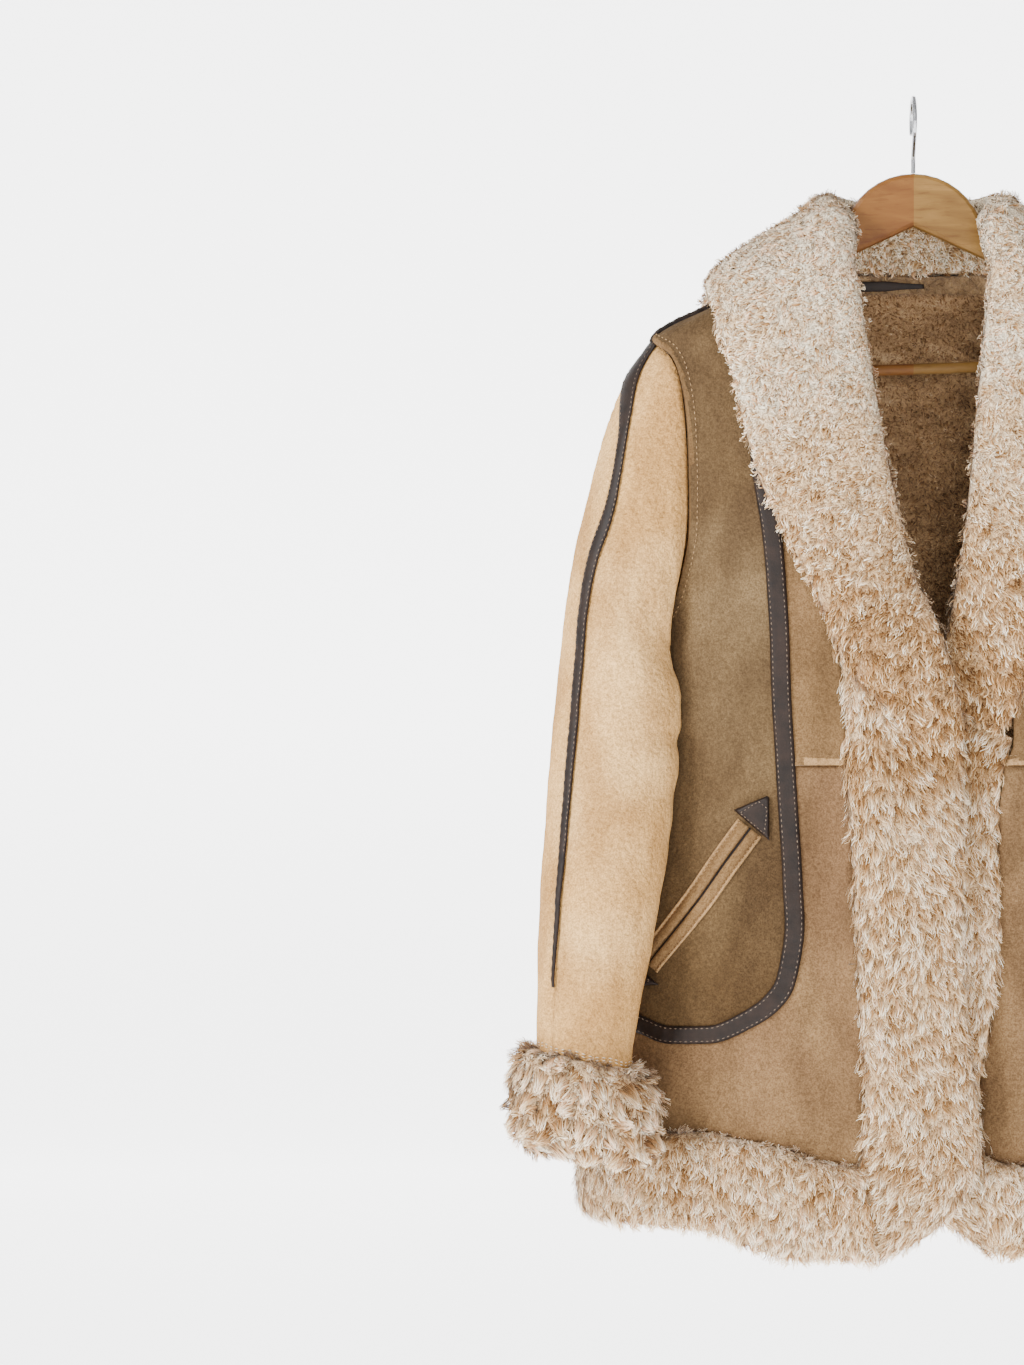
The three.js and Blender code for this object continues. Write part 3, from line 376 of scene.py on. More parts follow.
ARM_CELLS = 2 * ARM_HALF
ring = np.concatenate([ARMHOLE, ARMHOLE[-2:0:-1] * [-1, 1]])
armhole_off = body(LEFT, ring[:, 0], ring[:, 1])[0]
armhole_off -= oval(0.0, np.arange(ARM_CELLS) * 360 / ARM_CELLS)[0]
wrapped_off = np.concatenate([armhole_off[-3:], armhole_off, armhole_off[:3]])
read_off = table([[i - 3, *row] for i, row in enumerate(wrapped_off)])


def body_half_width(y, z):
    half, front, back = body_size(z)
    fur = (FUR_HEM + 2) * (1 - smooth(-818, -785, z))
    share = np.minimum(1, np.abs(y) / (np.where(y < 0, front, back) + fur))
    return (half + fur) * (1 - share**DEPTH_POWER) ** (1 / SIDE_POWER)


def sleeve(side, down, angle, lift=0.0):
    """Points and outward directions on a sleeve, in mm."""
    down, angle, lift = np.broadcast_arrays(
        np.asarray(down, float), np.asarray(angle, float), lift)
    at, out = oval(down, angle)
    fold = np.zeros(down.shape)
    for place, way, half, wide, rise in SLEEVE_FOLDS[side]:
        fold += SOFTER * rise * bump(wrapped(angle - way) / wide) * bump((down - place) / half)
    off = np.moveaxis(read_off(np.mod(angle, 360) * ARM_CELLS / 360), 0, -1)
    at = at + off * (1 - smooth(0, 110, down))[..., None]
    at = at + out * (lift + fold * smooth(10, 60, down))[..., None]
    clear = 0.6 + 4.6 * smooth(0, 70, down) + 8.5 * smooth(396, CUFF_AT, down)
    clear = np.where(lift > 0, mix(clear, 4.5, lift / FUR_CUFF), clear - lift)
    freed = 40 * smooth(UNDERARM_Z + 2, UNDERARM_Z + 26, at[..., 2])
    least = body_half_width(at[..., 1], at[..., 2]) + clear - freed
    at[..., 0] = np.maximum(at[..., 0], least)
    return at * [side, 1, 1], out * [side, 1, 1]


def strip_angle(down):
    return STRIP_ANGLE * smooth(0, 80, down)


print("armhole cells", ARM_CELLS)

# %% [markdown]
# Colours are written as on a paint card and turned into the linear values that Blender's shaders
# use. A small helper makes a material and hands out its nodes, so that each finish below only says
# what is special about it.


# %% Helpers for materials
def paint(code):
    parts = [int(code[i:i + 2], 16) / 255 for i in (1, 3, 5)]
    return (*[c / 12.92 if c < 0.04 else ((c + 0.055) / 1.055) ** 2.4 for c in parts], 1)


class Finish:
    """A material with one Principled shader, and short calls that add and join nodes."""

    def __init__(self, name, roughness, sheen=0.0, metallic=0.0):
        self.material = bpy.data.materials.new(name)
        self.material.use_nodes = True
        self.nodes = self.material.node_tree.nodes
        self.shader = self.nodes["Principled BSDF"]
        self.shader.inputs["Roughness"].default_value = roughness
        self.shader.inputs["Metallic"].default_value = metallic
        self.shader.inputs["Sheen Weight"].default_value = sheen
        self.shader.inputs["Sheen Roughness"].default_value = 0.45
        self.shader.inputs["Specular IOR Level"].default_value = 0.5 if roughness < 0.6 else 0.12
        self.places = self.nodes.new("ShaderNodeTexCoord").outputs["Object"]

    def link(self, source, target):
        self.material.node_tree.links.new(source, target)

    def add(self, kind, **inputs):
        """Adds a node; each input is named in small letters and is a value or a node's output."""
        node = self.nodes.new("ShaderNode" + kind)
        for name, value in inputs.items():
            socket = node.inputs[name.replace("_", " ").title()]
            if isinstance(value, bpy.types.NodeSocket):
                self.link(value, socket)
            elif value is not None:
                socket.default_value = value
        return node

    def stretched(self, scale):
        return self.add("Mapping", vector=self.places, scale=scale).outputs["Vector"]

    def noise(self, scale, detail=4.0, rough=0.55, places=None, warp=0.0):
        node = self.add("TexNoise", vector=places or self.places, scale=scale, detail=detail,
                        roughness=rough, distortion=warp)
        return node.outputs["Fac"]

    def height(self, low, high):
        """0 below low and 1 above high, both heights on the object in metres."""
        parts = self.add("SeparateXYZ", vector=self.places)
        node = self.add("MapRange", value=parts.outputs["Z"], from_min=low, from_max=high)
        return node.outputs["Result"]

    def cells(self, scale):
        node = self.add("TexVoronoi", vector=self.places, scale=scale)
        node.feature = "SMOOTH_F1"
        return node.outputs["Distance"]

    def ramp(self, source, stops):
        node = self.add("ValToRGB", fac=source)
        ramp = node.color_ramp
        while len(ramp.elements) < len(stops):
            ramp.elements.new(0.5)
        for element, (at, code) in zip(ramp.elements, stops):
            element.position = at
            element.color = paint(code) if isinstance(code, str) else (code, code, code, 1)
        return node.outputs["Color"]

    def blend(self, share, one, other, way="MIX"):
        node = self.add("Mix")
        node.data_type = "RGBA"
        node.blend_type = way
        for place, value in ((0, share), (6, one), (7, other)):
            socket = node.inputs[place]
            if isinstance(value, bpy.types.NodeSocket):
                self.link(value, socket)
            else:
                socket.default_value = paint(value) if isinstance(value, str) else value
        return node.outputs[2]

    def colour(self, source):
        self.link(source, self.shader.inputs["Base Color"])

    def relief(self, source, strength, distance, before=None):
        node = self.add("Bump", height=source, strength=strength, distance=distance, normal=before)
        self.link(node.outputs["Normal"], self.shader.inputs["Normal"])
        return node.outputs["Normal"]


print("white as a linear colour", paint("#ffffff"))

# %% [markdown]
# Suede is the raw side of the hide. Its nap lies in patches, light where it was brushed up and
# darker where it was pressed down, over a fine grain and the faint pebbles of the hide. Three sizes
# of noise on object coordinates give the patches, the mottling and the grain.


# %% Suede
def suede(name, light, middle, dark, contrast, pebble, shaded=None):
    """Three colours, how sharp the patches are, how deep the pebbles, and a painted shade toward the
    bottom.
    """
    made = Finish(name, roughness=0.97, sheen=0.06)
    made.shader.inputs["Sheen Tint"].default_value = paint("#d9b887")
    sharp = [(0.5 - contrast, 0.0), (0.5 + contrast, 1.0)]
    patches = made.ramp(made.noise(8, 4.0, 0.5, warp=0.7), sharp)
    smears = made.ramp(made.noise(1.0, 3.0, 0.5, places=made.stretched((24, 24, 12)), warp=0.5),
                       [(0.36, 0.0), (0.66, 1.0)])
    mottled = made.ramp(made.noise(340, 4.0, 0.7), [(0.34, "#a39b90"), (0.62, "#ffffff")])
    wide = made.blend(patches, middle, light)
    close = made.blend(smears, dark, wide)
    near = made.blend(0.7, wide, close)
    fine = made.blend(0.5, near, mottled, "MULTIPLY")
    grain = made.ramp(made.noise(800, 2.0, 0.5), [(0.34, "#8f877d"), (0.62, "#ffffff")])
    whole = made.blend(0.5, fine, grain, "MULTIPLY")
    # painted shade: the colour darkens toward the bottom, from the height high down to low
    if shaded:
        low, high, code = shaded
        painted_shade_below = made.ramp(made.height(low, high), [(0.0, code), (1.0, "#ffffff")])
        whole = made.blend(1.0, whole, painted_shade_below, "MULTIPLY")
    made.colour(whole)
    pebbles = made.relief(made.cells(230), pebble, 0.0014)
    wrinkles = made.relief(made.noise(130, 4.0, 0.6, warp=1.2), pebble, 0.0022, pebbles)
    made.relief(made.noise(1100, 3.0, 0.7), 0.3, 0.0006, wrinkles)
    return made.material


body_suede = suede("suede_body", "#886a48", "#745a3b", "#5a442c", 0.16, 0.4)
skirt_suede = suede("suede_skirt", "#8f714e", "#7a5d41", "#5c452e", 0.12, 0.4)
# The side panels' suede is darker, partly a darker nap and partly painted shade under the sleeves;
# its painted shade deepens toward the bottom.
shaded_side_suede = suede("suede_side_shaded", "#745f43", "#604c33", "#473624", 0.12, 0.44, (-0.7, -0.4, "#d8d1c8"))
# The sleeves' suede is much paler than the body's: partly a paler nap, partly painted light where the
# lamp from the upper left falls on the sleeves.
lit_sleeve_suede = suede("suede_sleeve_lit", "#f4c684", "#dcab69", "#ac7e48", 0.14, 0.8)
welt_suede = suede("suede_welt", "#8a6c48", "#735838", "#59432c", 0.16, 0.15)
piping_suede = suede("suede_piping", "#b99468", "#a07f56", "#846642", 0.16, 0.08)
print(body_suede.name, lit_sleeve_suede.name, welt_suede.name)

# %% [markdown]
# The inside of the hide is wool clipped short and dyed brown. Where it isn't seen close by, a bump
# of small curls is enough.

# %% Clipped wool
wool = Finish("clipped_wool", roughness=1.0, sheen=0.15)
wool_tone = wool.ramp(wool.noise(120, 5.0, 0.65, warp=1.2), [(0.32, "#5c4630"), (0.7, "#b39169")])
wool.colour(wool_tone)
wool.relief(wool.noise(260, 4.0, 0.7, warp=1.5), 0.9, 0.004)
inner_wool = wool.material
print(inner_wool.name)

# %% [markdown]
# The strips and tabs are smooth dark leather. Fine grain breaks up its gloss, and it is a little
# lighter where it has rubbed.

# %% Leather
hide = Finish("dark_leather", roughness=0.55)
hide.shader.inputs["Specular IOR Level"].default_value = 0.2
hide_tone = hide.ramp(hide.noise(60, 5.0, 0.6), [(0.3, "#120b08"), (0.75, "#261a13")])
hide.colour(hide_tone)
hide_grain = hide.relief(hide.cells(1100), 0.25, 0.0004)
hide.relief(hide.noise(240, 3.0, 0.6), 0.18, 0.0008, hide_grain)
dark_leather = hide.material


def thread(name, one, other):
    made = Finish(name, roughness=0.7)
    made.colour(made.ramp(made.noise(700, 2.0), [(0.3, one), (0.7, other)]))
    return made.material


threads = {
    # the dark thread has lighter spots: partly its own colour, partly painted glints
    "dark_thread": thread("dark_thread", "#4d3f38", "#80705f"),
    "tan_thread": thread("tan_thread", "#8f7150", "#b08f69"),
    "pale_thread": thread("pale_thread", "#cdbb9f", "#e6d8c0"),
}
print(dark_leather.name, *threads)

# %% [markdown]
# Every lock of wool is a narrow ribbon. Its place in a small colour chart says what colour it has:
# left to right from shaded to pale and on to rosy wool, upward from painted shade at the root to the
# tip.
# The chart is the piece's own UV map, so the colours stay on the locks when the coat is turned.


# %% Colours of the wool
TINTS = {
    "pale": [(0.0, "#8f6f49"), (0.28, "#c19c6e"), (0.55, "#eed3ab"), (0.78, "#fff9e4"),
             (1.0, "#fad6b0")],
    "brown": [(0.0, "#8a6f52"), (0.5, "#b4946f"), (1.0, "#dcc09a")],
}


def chart_places(made):
    chart = made.add("UVMap")
    chart.uv_map = "Tone"
    parts = made.add("SeparateXYZ", vector=chart.outputs["UV"])
    return parts.outputs["X"], parts.outputs["Y"]


def lock_finish(name, tints, root, middle):
    made = Finish(name, roughness=0.85, sheen=0.2)
    made.shader.inputs["Sheen Tint"].default_value = paint("#fff3e2")
    across, up = chart_places(made)
    tone = made.ramp(across, tints)
    # the roots are darker than the tips: painted shade where the locks sink into the wool
    height = made.ramp(up, [(0.0, root), (0.5, middle), (0.92, "#ffffff")])
    made.colour(made.blend(1.0, tone, height, "MULTIPLY"))
    return made.material


def ground_finish(name, tints, hollow_shade):
    made = Finish(name, roughness=1.0, sheen=0.15)
    across, _ = chart_places(made)
    tone = made.ramp(across, tints)
    curls = made.noise(330, 4.0, 0.65, warp=1.6)
    # the curls' hollows are darkened: painted shade in the hollows of the base
    hollow_shade_ramp = made.ramp(curls, [(0.36, hollow_shade), (0.62, "#fbf4ec")])
    made.colour(made.blend(1.0, tone, hollow_shade_ramp, "MULTIPLY"))
    made.relief(curls, 0.8, 0.003)
    return made.material


pale_locks = lock_finish("pale_locks", TINTS["pale"], "#57402c", "#bda78f")
pale_ground = ground_finish("pale_ground", TINTS["pale"], "#6b533c")
brown_locks = lock_finish("brown_locks", TINTS["brown"], "#5a4737", "#b8a591")
brown_ground = ground_finish("brown_ground", TINTS["brown"], "#8a7866")
print(pale_locks.name, pale_ground.name, brown_locks.name, brown_ground.name)

# %% [markdown]
# Cloth pieces start as a flat bmesh grid, like a cut piece of hide on the table. Its vertices are
# then moved to their places on the coat, and a Solidify modifier gives the hide its thickness with
# wool on the inner side. Its size is measured from the grid's own rows and columns.


# %% Grids and pieces
scene_objects = bpy.context.scene.collection.objects


def grid_mesh(name, points, out):
    """A grid mesh at points[row, column] in mm, with its faces turned to look out."""
    rows, columns = points.shape[:2]
    bm = bmesh.new()
    bm.loops.layers.uv.new("Cloth")
    bmesh.ops.create_grid(
        bm, x_segments=columns - 1, y_segments=rows - 1, size=0.5, calc_uvs=True)
    mesh = bpy.data.meshes.new(name)
    bm.to_mesh(mesh)
    bm.free()
    mesh.vertices.foreach_set("co", (points * MM).astype(np.float32).ravel())
    mesh.update()
    middle = (rows // 2, columns // 2)
    step_along = points[middle[0] + 1, middle[1]] - points[middle]
    step_across = points[middle[0], middle[1] + 1] - points[middle]
    if np.dot(np.cross(step_across, step_along), out[middle]) < 0:
        mesh.flip_normals()
    return mesh


def add_piece(name, mesh, materials, replaces=True):
    """Makes a mesh into a piece of the coat; most replace the solid of the same name."""
    for material in materials:
        mesh.materials.append(material)
    mesh.shade_smooth()
    piece = bpy.data.objects.new(name, mesh)
    scene_objects.link(piece)
    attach(piece, "root")
    if replaces:
        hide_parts(name)
    return piece


def cut_size(points):
    """Width, length and area of the flat cut in metres, from a grid of points in mm."""
    wide = np.linalg.norm(np.diff(points, axis=1), axis=-1).sum(1).max()
    long = np.linalg.norm(np.diff(points, axis=0), axis=-1).sum(0).max()
    one, other = points[1:, 1:] - points[:-1, :-1], points[1:, :-1] - points[:-1, 1:]
    area = np.linalg.norm(np.cross(one, other), axis=-1).sum() / 2
    return wide * MM, long * MM, area * MM * MM


LEAST_FILL = 0.31  # a slanted cut fills at least this share of its box


def mesh_area(mesh):
    return sum(face.area for face in mesh.polygons)


def hide_sheet(mesh, name, material, size, thick=SKIN, raised=None, ridge_highlight_suede=None):
    """Gives a mesh its thickness, suede outside and wool inside, and states its flat cut."""
    # Raised faces take a paler suede: a painted highlight along the raised seam ridges.
    if raised is not None:
        mesh.polygons.foreach_set("material_index", np.where(raised, 2, 0).astype(np.int32).ravel())
    sides = [material, inner_wool, ridge_highlight_suede or piping_suede, inner_wool]
    piece = add_piece(name, mesh, sides)
    wall = piece.modifiers.new("hide", "SOLIDIFY")
    wall.thickness = thick * MM
    wall.offset = -1
    wall.material_offset = 1
    wall.material_offset_rim = 1
    wide, long, area = size
    area = float(np.clip(area, LEAST_FILL * wide * long, wide * long))
    print(name, "cut", round(float(wide), 3), "x", round(float(long), 3), "area", round(area, 4))
    return piece


def hide_piece(name, points, out, material, thick=SKIN, raised=None, ridge_highlight_suede=None):
    mesh = grid_mesh(name, points, out)
    return hide_sheet(mesh, name, material, cut_size(points), thick, raised, ridge_highlight_suede)


# %% [markdown]
# Shearling rolls down a little where it is sewn, and it creases softly where it hangs free. Each
# crease is listed: where it starts and ends on the coat's front or back, how wide it is
# and how deep. Distances to the crease's line make a soft trough or ridge. The nap and small
# dents that a hide always has are low waves of several lengths.


# %% Creases
# side and facing (front 1, back -1): from (away, z), to (away, z), width, rise
CREASES = {
    (RIGHT, 1): [
        ((126, -612), (164, -700), 9, -5.2), ((108, -612), (120, -668), 9, 1.6),
        ((186, -196), (146, -232), 10, -1.8), ((172, -240), (138, -300), 16, -1.6),
        ((188, -452), (150, -486), 9, -2.2), ((192, -478), (160, -520), 10, 1.6),
        ((184, -516), (148, -560), 12, -1.8), ((84, -560), (70, -700), 12, -1.8),
        ((92, -745), (80, -806), 13, 1.8), ((150, -756), (164, -804), 12, -2.2),
        ((196, -752), (190, -806), 11, 1.8), ((96, -470), (72, -512), 8, -1.2),
        ((168, -360), (140, -420), 14, -1.4), ((118, -768), (124, -812), 10, -1.6),
    ],
    (LEFT, 1): [
        ((130, -606), (158, -682), 9, -4.4), ((112, -640), (126, -690), 10, 1.5),
        ((184, -200), (150, -246), 11, -1.7), ((170, -262), (142, -330), 15, -1.5),
        ((190, -446), (156, -474), 9, -2.1), ((186, -500), (152, -548), 12, -2.0),
        ((88, -552), (78, -676), 13, -1.7), ((104, -752), (96, -810), 12, 1.9),
        ((160, -750), (150, -806), 12, -2.0), ((206, -760), (200, -806), 10, 1.5),
    ],
    (RIGHT, -1): [
        ((176, -250), (120, -330), 18, -2.4), ((184, -330), (140, -392), 14, 1.8),
        ((186, -440), (120, -476), 13, -2.6), ((190, -486), (132, -540), 15, 1.9),
        ((96, -560), (104, -720), 20, -2.6), ((160, -600), (176, -760), 22, -2.4),
        ((36, -540), (48, -760), 24, 2.2),
    ],
    (LEFT, -1): [
        ((180, -256), (132, -346), 17, -2.2), ((186, -350), (146, -404), 13, 1.7),
        ((184, -436), (126, -486), 14, -2.7), ((188, -498), (140, -560), 14, 1.8),
        ((84, -590), (92, -748), 21, -2.4), ((150, -620), (168, -780), 20, -2.5),
        ((20, -570), (12, -780), 26, -2.3),
    ],
}
DEEPER = 1.3  # deepens all creases alike


def waves(points, length, seed, count=7):
    """A smooth random height from -1 to 1 at points in mm, made of waves of about one length."""
    dice = np.random.default_rng(seed)
    total = np.zeros(points.shape[:-1])
    for _ in range(count):
        way = dice.normal(size=3)
        way *= 2 * np.pi / (np.linalg.norm(way) * length * dice.uniform(0.7, 1.5))
        total += np.sin(points @ way + dice.uniform(0, 2 * np.pi))
    return np.clip(total / (count * 0.55), -1, 1)


def line_distance(x, z, start, end):
    """Distance from a segment, and the share along it."""
    way = np.subtract(end, start).astype(float)
    share = ((x - start[0]) * way[0] + (z - start[1]) * way[1]) / (way @ way)
    held = np.clip(share, 0, 1)
    return np.hypot(x - start[0] - held * way[0], z - start[1] - held * way[1]), share


def crease_depth(points, out):
    x, z = points[..., 0], points[..., 2]
    total = np.zeros(x.shape)
    for (side, facing), creases in CREASES.items():
        facing_it = smooth(0.02, 0.4, -facing * out[..., 1])
        for start, end, wide, rise in creases:
            distance, share = line_distance(side * x, z, start, end)
            fade = np.sin(np.pi * np.clip(share, 0.06, 0.94)) ** 0.5
            bent = distance + 0.12 * wide * np.sin(share * 7 + wide)
            total += DEEPER * rise * bump(bent / wide) * fade * facing_it
    return total


print("creases on the body", sum(map(len, CREASES.values())))


def edge_roll(shape, drops):
    """How far a grid's borders roll down: drops are (top, bottom, first column, last column)."""
    rows, columns = shape
    v, u = np.arange(rows)[:, None], np.arange(columns)[None, :]
    total = np.zeros(shape)
    for away, drop in zip((v, rows - 1 - v, u, columns - 1 - u), drops):
        total = np.minimum(total, -drop * np.exp(-1.1 * away))
    return total


def cloth(points, out):
    """Creases and low waves of the hide at points on the body."""
    dents = 0.5 * waves(points, 66, 21) + 0.2 * waves(points, 23, 22)
    return crease_depth(points, out) + dents


def hung(points, out, drops=(1.0, 1.0, 1.0, 1.0)):
    """The cloth of a body panel with its creases, dents and rolled borders."""
    lift = cloth(points, out) + edge_roll(points.shape[:2], drops)
    return points + out * lift[..., None]


# %% [markdown]
# The skirt turns round the corner of the pocket panel, an outline that no plain grid fits. So it is
# cut like the real one: a flat lattice is trimmed along the outline, its rim is pulled onto the
# outline, and only then is it bent round the body. Its border sinks where the seams pull it down.


# %% A panel cut from its outline
TURN_MM = 330  # about the length of one turn on the flat
LATTICE = 5.5
RIM_SINKS = 2.2  # mm over which the border rises from its seam


def within(outline, x, z):
    """Whether points lie inside a closed outline."""
    inside = np.zeros(len(x), bool)
    for (x0, z0), (x1, z1) in zip(outline, np.roll(outline, -1, axis=0)):
        crosses = (z0 > z) != (z1 > z)
        at = x0 + (z - z0) / (z1 - z0 if z1 != z0 else 1) * (x1 - x0)
        inside ^= crosses & (x < at)
    return inside


def cut_panel(name, side, outline):
    """A mesh of the panel inside an outline of places, and its vertices in mm."""
    flat = outline * [TURN_MM, 1]
    low, size = flat.min(0), np.ptp(flat, axis=0)
    cells = np.ceil(size / LATTICE).astype(int)
    bm = bmesh.new()
    bmesh.ops.create_grid(bm, x_segments=int(cells[0]), y_segments=int(cells[1]), size=0.5)
    for vert in bm.verts:
        vert.co.x, vert.co.y = low + (np.array([vert.co.x, vert.co.y]) + 0.5) * size
    x, z = np.array([v.co.x for v in bm.verts]), np.array([v.co.y for v in bm.verts])
    kept = within(flat, x, z)
    bm.verts.index_update()
    outside = [f for f in bm.faces if not any(kept[v.index] for v in f.verts)]
    border = kdtree.KDTree(len(flat) * 4)
    following = np.roll(flat, -1, axis=0)
    for k in range(len(flat) * 4):
        px, pz = mix(flat[k // 4], following[k // 4], k % 4 / 4)
        border.insert((px, pz, 0), k)
    border.balance()
    for vert in bm.verts:
        if not kept[vert.index]:
            vert.co = border.find(vert.co)[0]
    bmesh.ops.delete(bm, geom=outside, context="FACES")
    bmesh.ops.remove_doubles(bm, verts=bm.verts, dist=0.02)
    inset = np.array([border.find(v.co)[2] for v in bm.verts])
    co = np.array([v.co for v in bm.verts])
    at, out = body(side, co[:, 0] / TURN_MM, co[:, 1])
    at = at + out * (cloth(at, out) - np.exp(-inset / RIM_SINKS))[:, None]
    for vert, place in zip(bm.verts, at):
        vert.co = place * MM
    bm.verts.index_update()
    bm.normal_update()
    if sum(f.normal.dot(out[f.verts[0].index]) for f in bm.faces) < 0:
        bmesh.ops.reverse_faces(bm, faces=bm.faces)
    mesh = bpy.data.meshes.new(name)
    bm.to_mesh(mesh)
    bm.free()
    return mesh, at


# %% [markdown]
# Each front has a side panel round the armhole, a chest panel and a skirt below the waist seam. The
# seam round the armhole is felled: its allowance is folded toward the body and stitched, which
# stands up as a low ridge along the armhole.

# %% Body panels
FELL_RISE = 2.0
CHORD_TO_CLOTH = 1.12  # the skirt's hem runs round the body, longer than it is wide
for name, side in SIDES.items():
    front = FRONTS[name]
    edge = front_edge(front)
    curve = PRINCESS[CORNER_AT:][::-1]
    cells = fill(RIDGE_OUTER, curve, np.concatenate([ARMHOLE, SIDE_UPPER[1:]]),
                 PRINCESS[:CORNER_AT + 1], 5, 7)
    at, out = body(side, cells[..., 0], cells[..., 1])
    at = hung(at, out)
    reach = np.cumsum(np.linalg.norm(np.diff(at, axis=1, prepend=at[:, :1]), axis=-1), axis=1)
    fell = FELL_RISE * smooth(0.5, 2.5, reach) * (1 - smooth(7.0, 9.0, reach))
    fell *= 1 - smooth(54, 60, np.arange(len(at)))[:, None]
    ridge = fell[:-1, 1:] > 0.5 * FELL_RISE
    # The fell ridge's faces take the paler body suede, a painted highlight along the ridge.
    hide_piece(f"{name}_side_front", at + out * fell[..., None], out, shaded_side_suede, raised=ridge,
               ridge_highlight_suede=body_suede)

    waist_turns = np.linspace(PRINCESS[WAIST_AT, 0], edge[WAIST_AT, 0], 4)
    waist = np.stack([waist_turns, np.full(4, WAIST_Z)], -1)
    cells = fill(RIDGE_INNER, waist, PRINCESS[:WAIST_AT + 1], edge[:WAIST_AT + 1], 6, 9)
    at, out = body(side, cells[..., 0], cells[..., 1])
    at = hung(at, out, (1.0, 0.0, 1.0, 1.0))
    over_seam = at[..., 2] - WAIST_Z
    at = at + out * (FELL_RISE * (1 - smooth(5.2, 7.4, over_seam)))[..., None]
    # The raised band just above the waist seam takes the paler piping suede, a painted highlight.
    hide_piece(f"{name}_chest_front", at, out, body_suede, raised=over_seam[:-1, 1:] < 6)

    skirt_top = np.concatenate([curve, PRINCESS[WAIST_AT:CORNER_AT][::-1], waist[1:]])
    last_turn = edge[-1, 0]
    hem_turns = np.concatenate([np.linspace(0, 0.68, 7), np.linspace(0.68, 0.8, 5)[1:],
                                np.linspace(0.8, last_turn, 4)[1:]])
    hem_away = body_size(-830)[0] * power(np.cos(hem_turns * np.pi / 2), 2 / SIDE_POWER)
    hem_top = np.stack([hem_turns, front["hem_seam"](hem_away)[0]], -1)
    hem_top[-1] = edge[-1]
    outline = np.concatenate([
        along(skirt_top, np.linspace(0, 1, 105))[:-1],
        along(edge[WAIST_AT:], np.linspace(0, 1, 46))[:-1],
        along(hem_top, np.linspace(1, 0, 66))[:-1],
        along(SIDE_LOWER, np.linspace(1, 0, 16))[:-1],
    ])
    mesh, at = cut_panel(f"{name}_skirt_front", side, outline)
    wide = np.abs(np.ptp(at[at[:, 2] < HEM_SEAM_Z + 30, 0])) * CHORD_TO_CLOTH * MM
    long = np.ptp(at[:, 2]) * MM
    hide_sheet(mesh, f"{name}_skirt_front", skirt_suede, (wide, long, mesh_area(mesh)))
    shares = (np.arange(len(hem_turns)) / (len(hem_turns) - 1))[:, None] ** 3
    corner = placed(front["band_front"][-1])
    low_z = front["hem_edge"](hem_away)[0]
    front["hem_top"] = hem_top
    front["hem_low"] = np.stack([hem_turns, low_z], -1) * (1 - shares) + shares * np.stack(
        [hem_turns + (corner[0] - last_turn), np.full(len(hem_turns), corner[1])], -1)

# %% [markdown]
# The back is one panel from shoulder to hem, so it gets the longest creases.

# %% Back
neck_turns = np.linspace(0, -2, 9)
neck_z = mix(NECK_Z, -136, np.sin(np.minimum(-neck_turns, 2 + neck_turns) * np.pi / 2))
neck_line = np.stack([neck_turns, neck_z], -1)
ridge = np.concatenate([RIDGE_OUTER, RIDGE_INNER[1:]])
back_side = np.concatenate([ARMHOLE * [-1, 1], SIDE_UPPER[1:], SIDE_LOWER[1:]])


def turned(places):
    """The same places on the coat's left side, as the back's own turns count them."""
    return places * [-1, 1] + [-2, 0]


back_top = np.concatenate([ridge, neck_line[1:-1], turned(ridge)[::-1]])
back_hem = np.stack([np.linspace(0, -2, len(back_top)), np.full(len(back_top), HEM_SEAM_Z)], -1)
cells = fill(back_top, back_hem, back_side, turned(back_side), 4, 5, pull=6)
at, out = body(RIGHT, cells[..., 0], cells[..., 1])
hide_piece("back", hung(at, out), out, body_suede)

# %% [markdown]
# The sleeves crease across inside the elbow and under the arm, where the hide is pushed together
# as it hangs. The creases here are short arcs round the sleeve, uneven in length and depth.

# %% Sleeves
# down, angle, reach in degrees, width, rise, slant in mm down for each degree
ARM_CREASES = {
    RIGHT: [
        (24, 60, 34, 9, -2.0, 0.25), (44, 118, 40, 10, -1.3, -0.3), (74, 150, 46, 9, -1.2, -0.22),
        (118, 170, 50, 11, -1.3, -0.1), (168, 158, 40, 8, -1.2, 0.1), (186, 130, 26, 7, 0.8, 0.2),
        (206, 172, 48, 8, -1.6, 0.12), (228, 150, 30, 8, 0.9, 0.3), (246, 186, 52, 9, -1.5, 0.05),
        (282, 164, 38, 9, -1.1, -0.15), (322, 190, 46, 10, -1.1, 0.1),
        (372, 120, 34, 12, -0.9, 0.2), (410, 70, 40, 11, -1.6, -0.1), (436, 140, 60, 9, -1.0, 0.05),
        (150, 300, 40, 14, -2.0, 0.4), (236, 270, 46, 12, -2.2, -0.2),
        (300, 300, 36, 12, -1.8, 0.25), (60, 14, 30, 16, 1.5, 0.6),
    ],
    LEFT: [
        (28, 66, 32, 9, -1.9, 0.2), (50, 126, 42, 10, -1.2, -0.25), (84, 156, 44, 9, -1.2, -0.2),
        (128, 176, 52, 12, -1.2, 0.05), (176, 150, 36, 8, -1.1, 0.15), (214, 168, 50, 8, -1.6, 0.1),
        (240, 140, 28, 8, 0.8, 0.2), (262, 190, 48, 9, -1.4, 0.1), (300, 156, 40, 9, -1.1, -0.1),
        (344, 184, 44, 10, -1.1, 0.1), (392, 110, 36, 12, -0.9, 0.2), (434, 150, 58, 9, -0.9, 0.0),
        (160, 296, 42, 13, -2.1, 0.35), (250, 262, 44, 12, -2.0, -0.2),
    ],
}
# the sleeve's inner side swells over the body: down, half length, angle, rise
INNER_SWELLS = [(44, 52, 158, 9.0), (150, 80, 172, 2.5)]


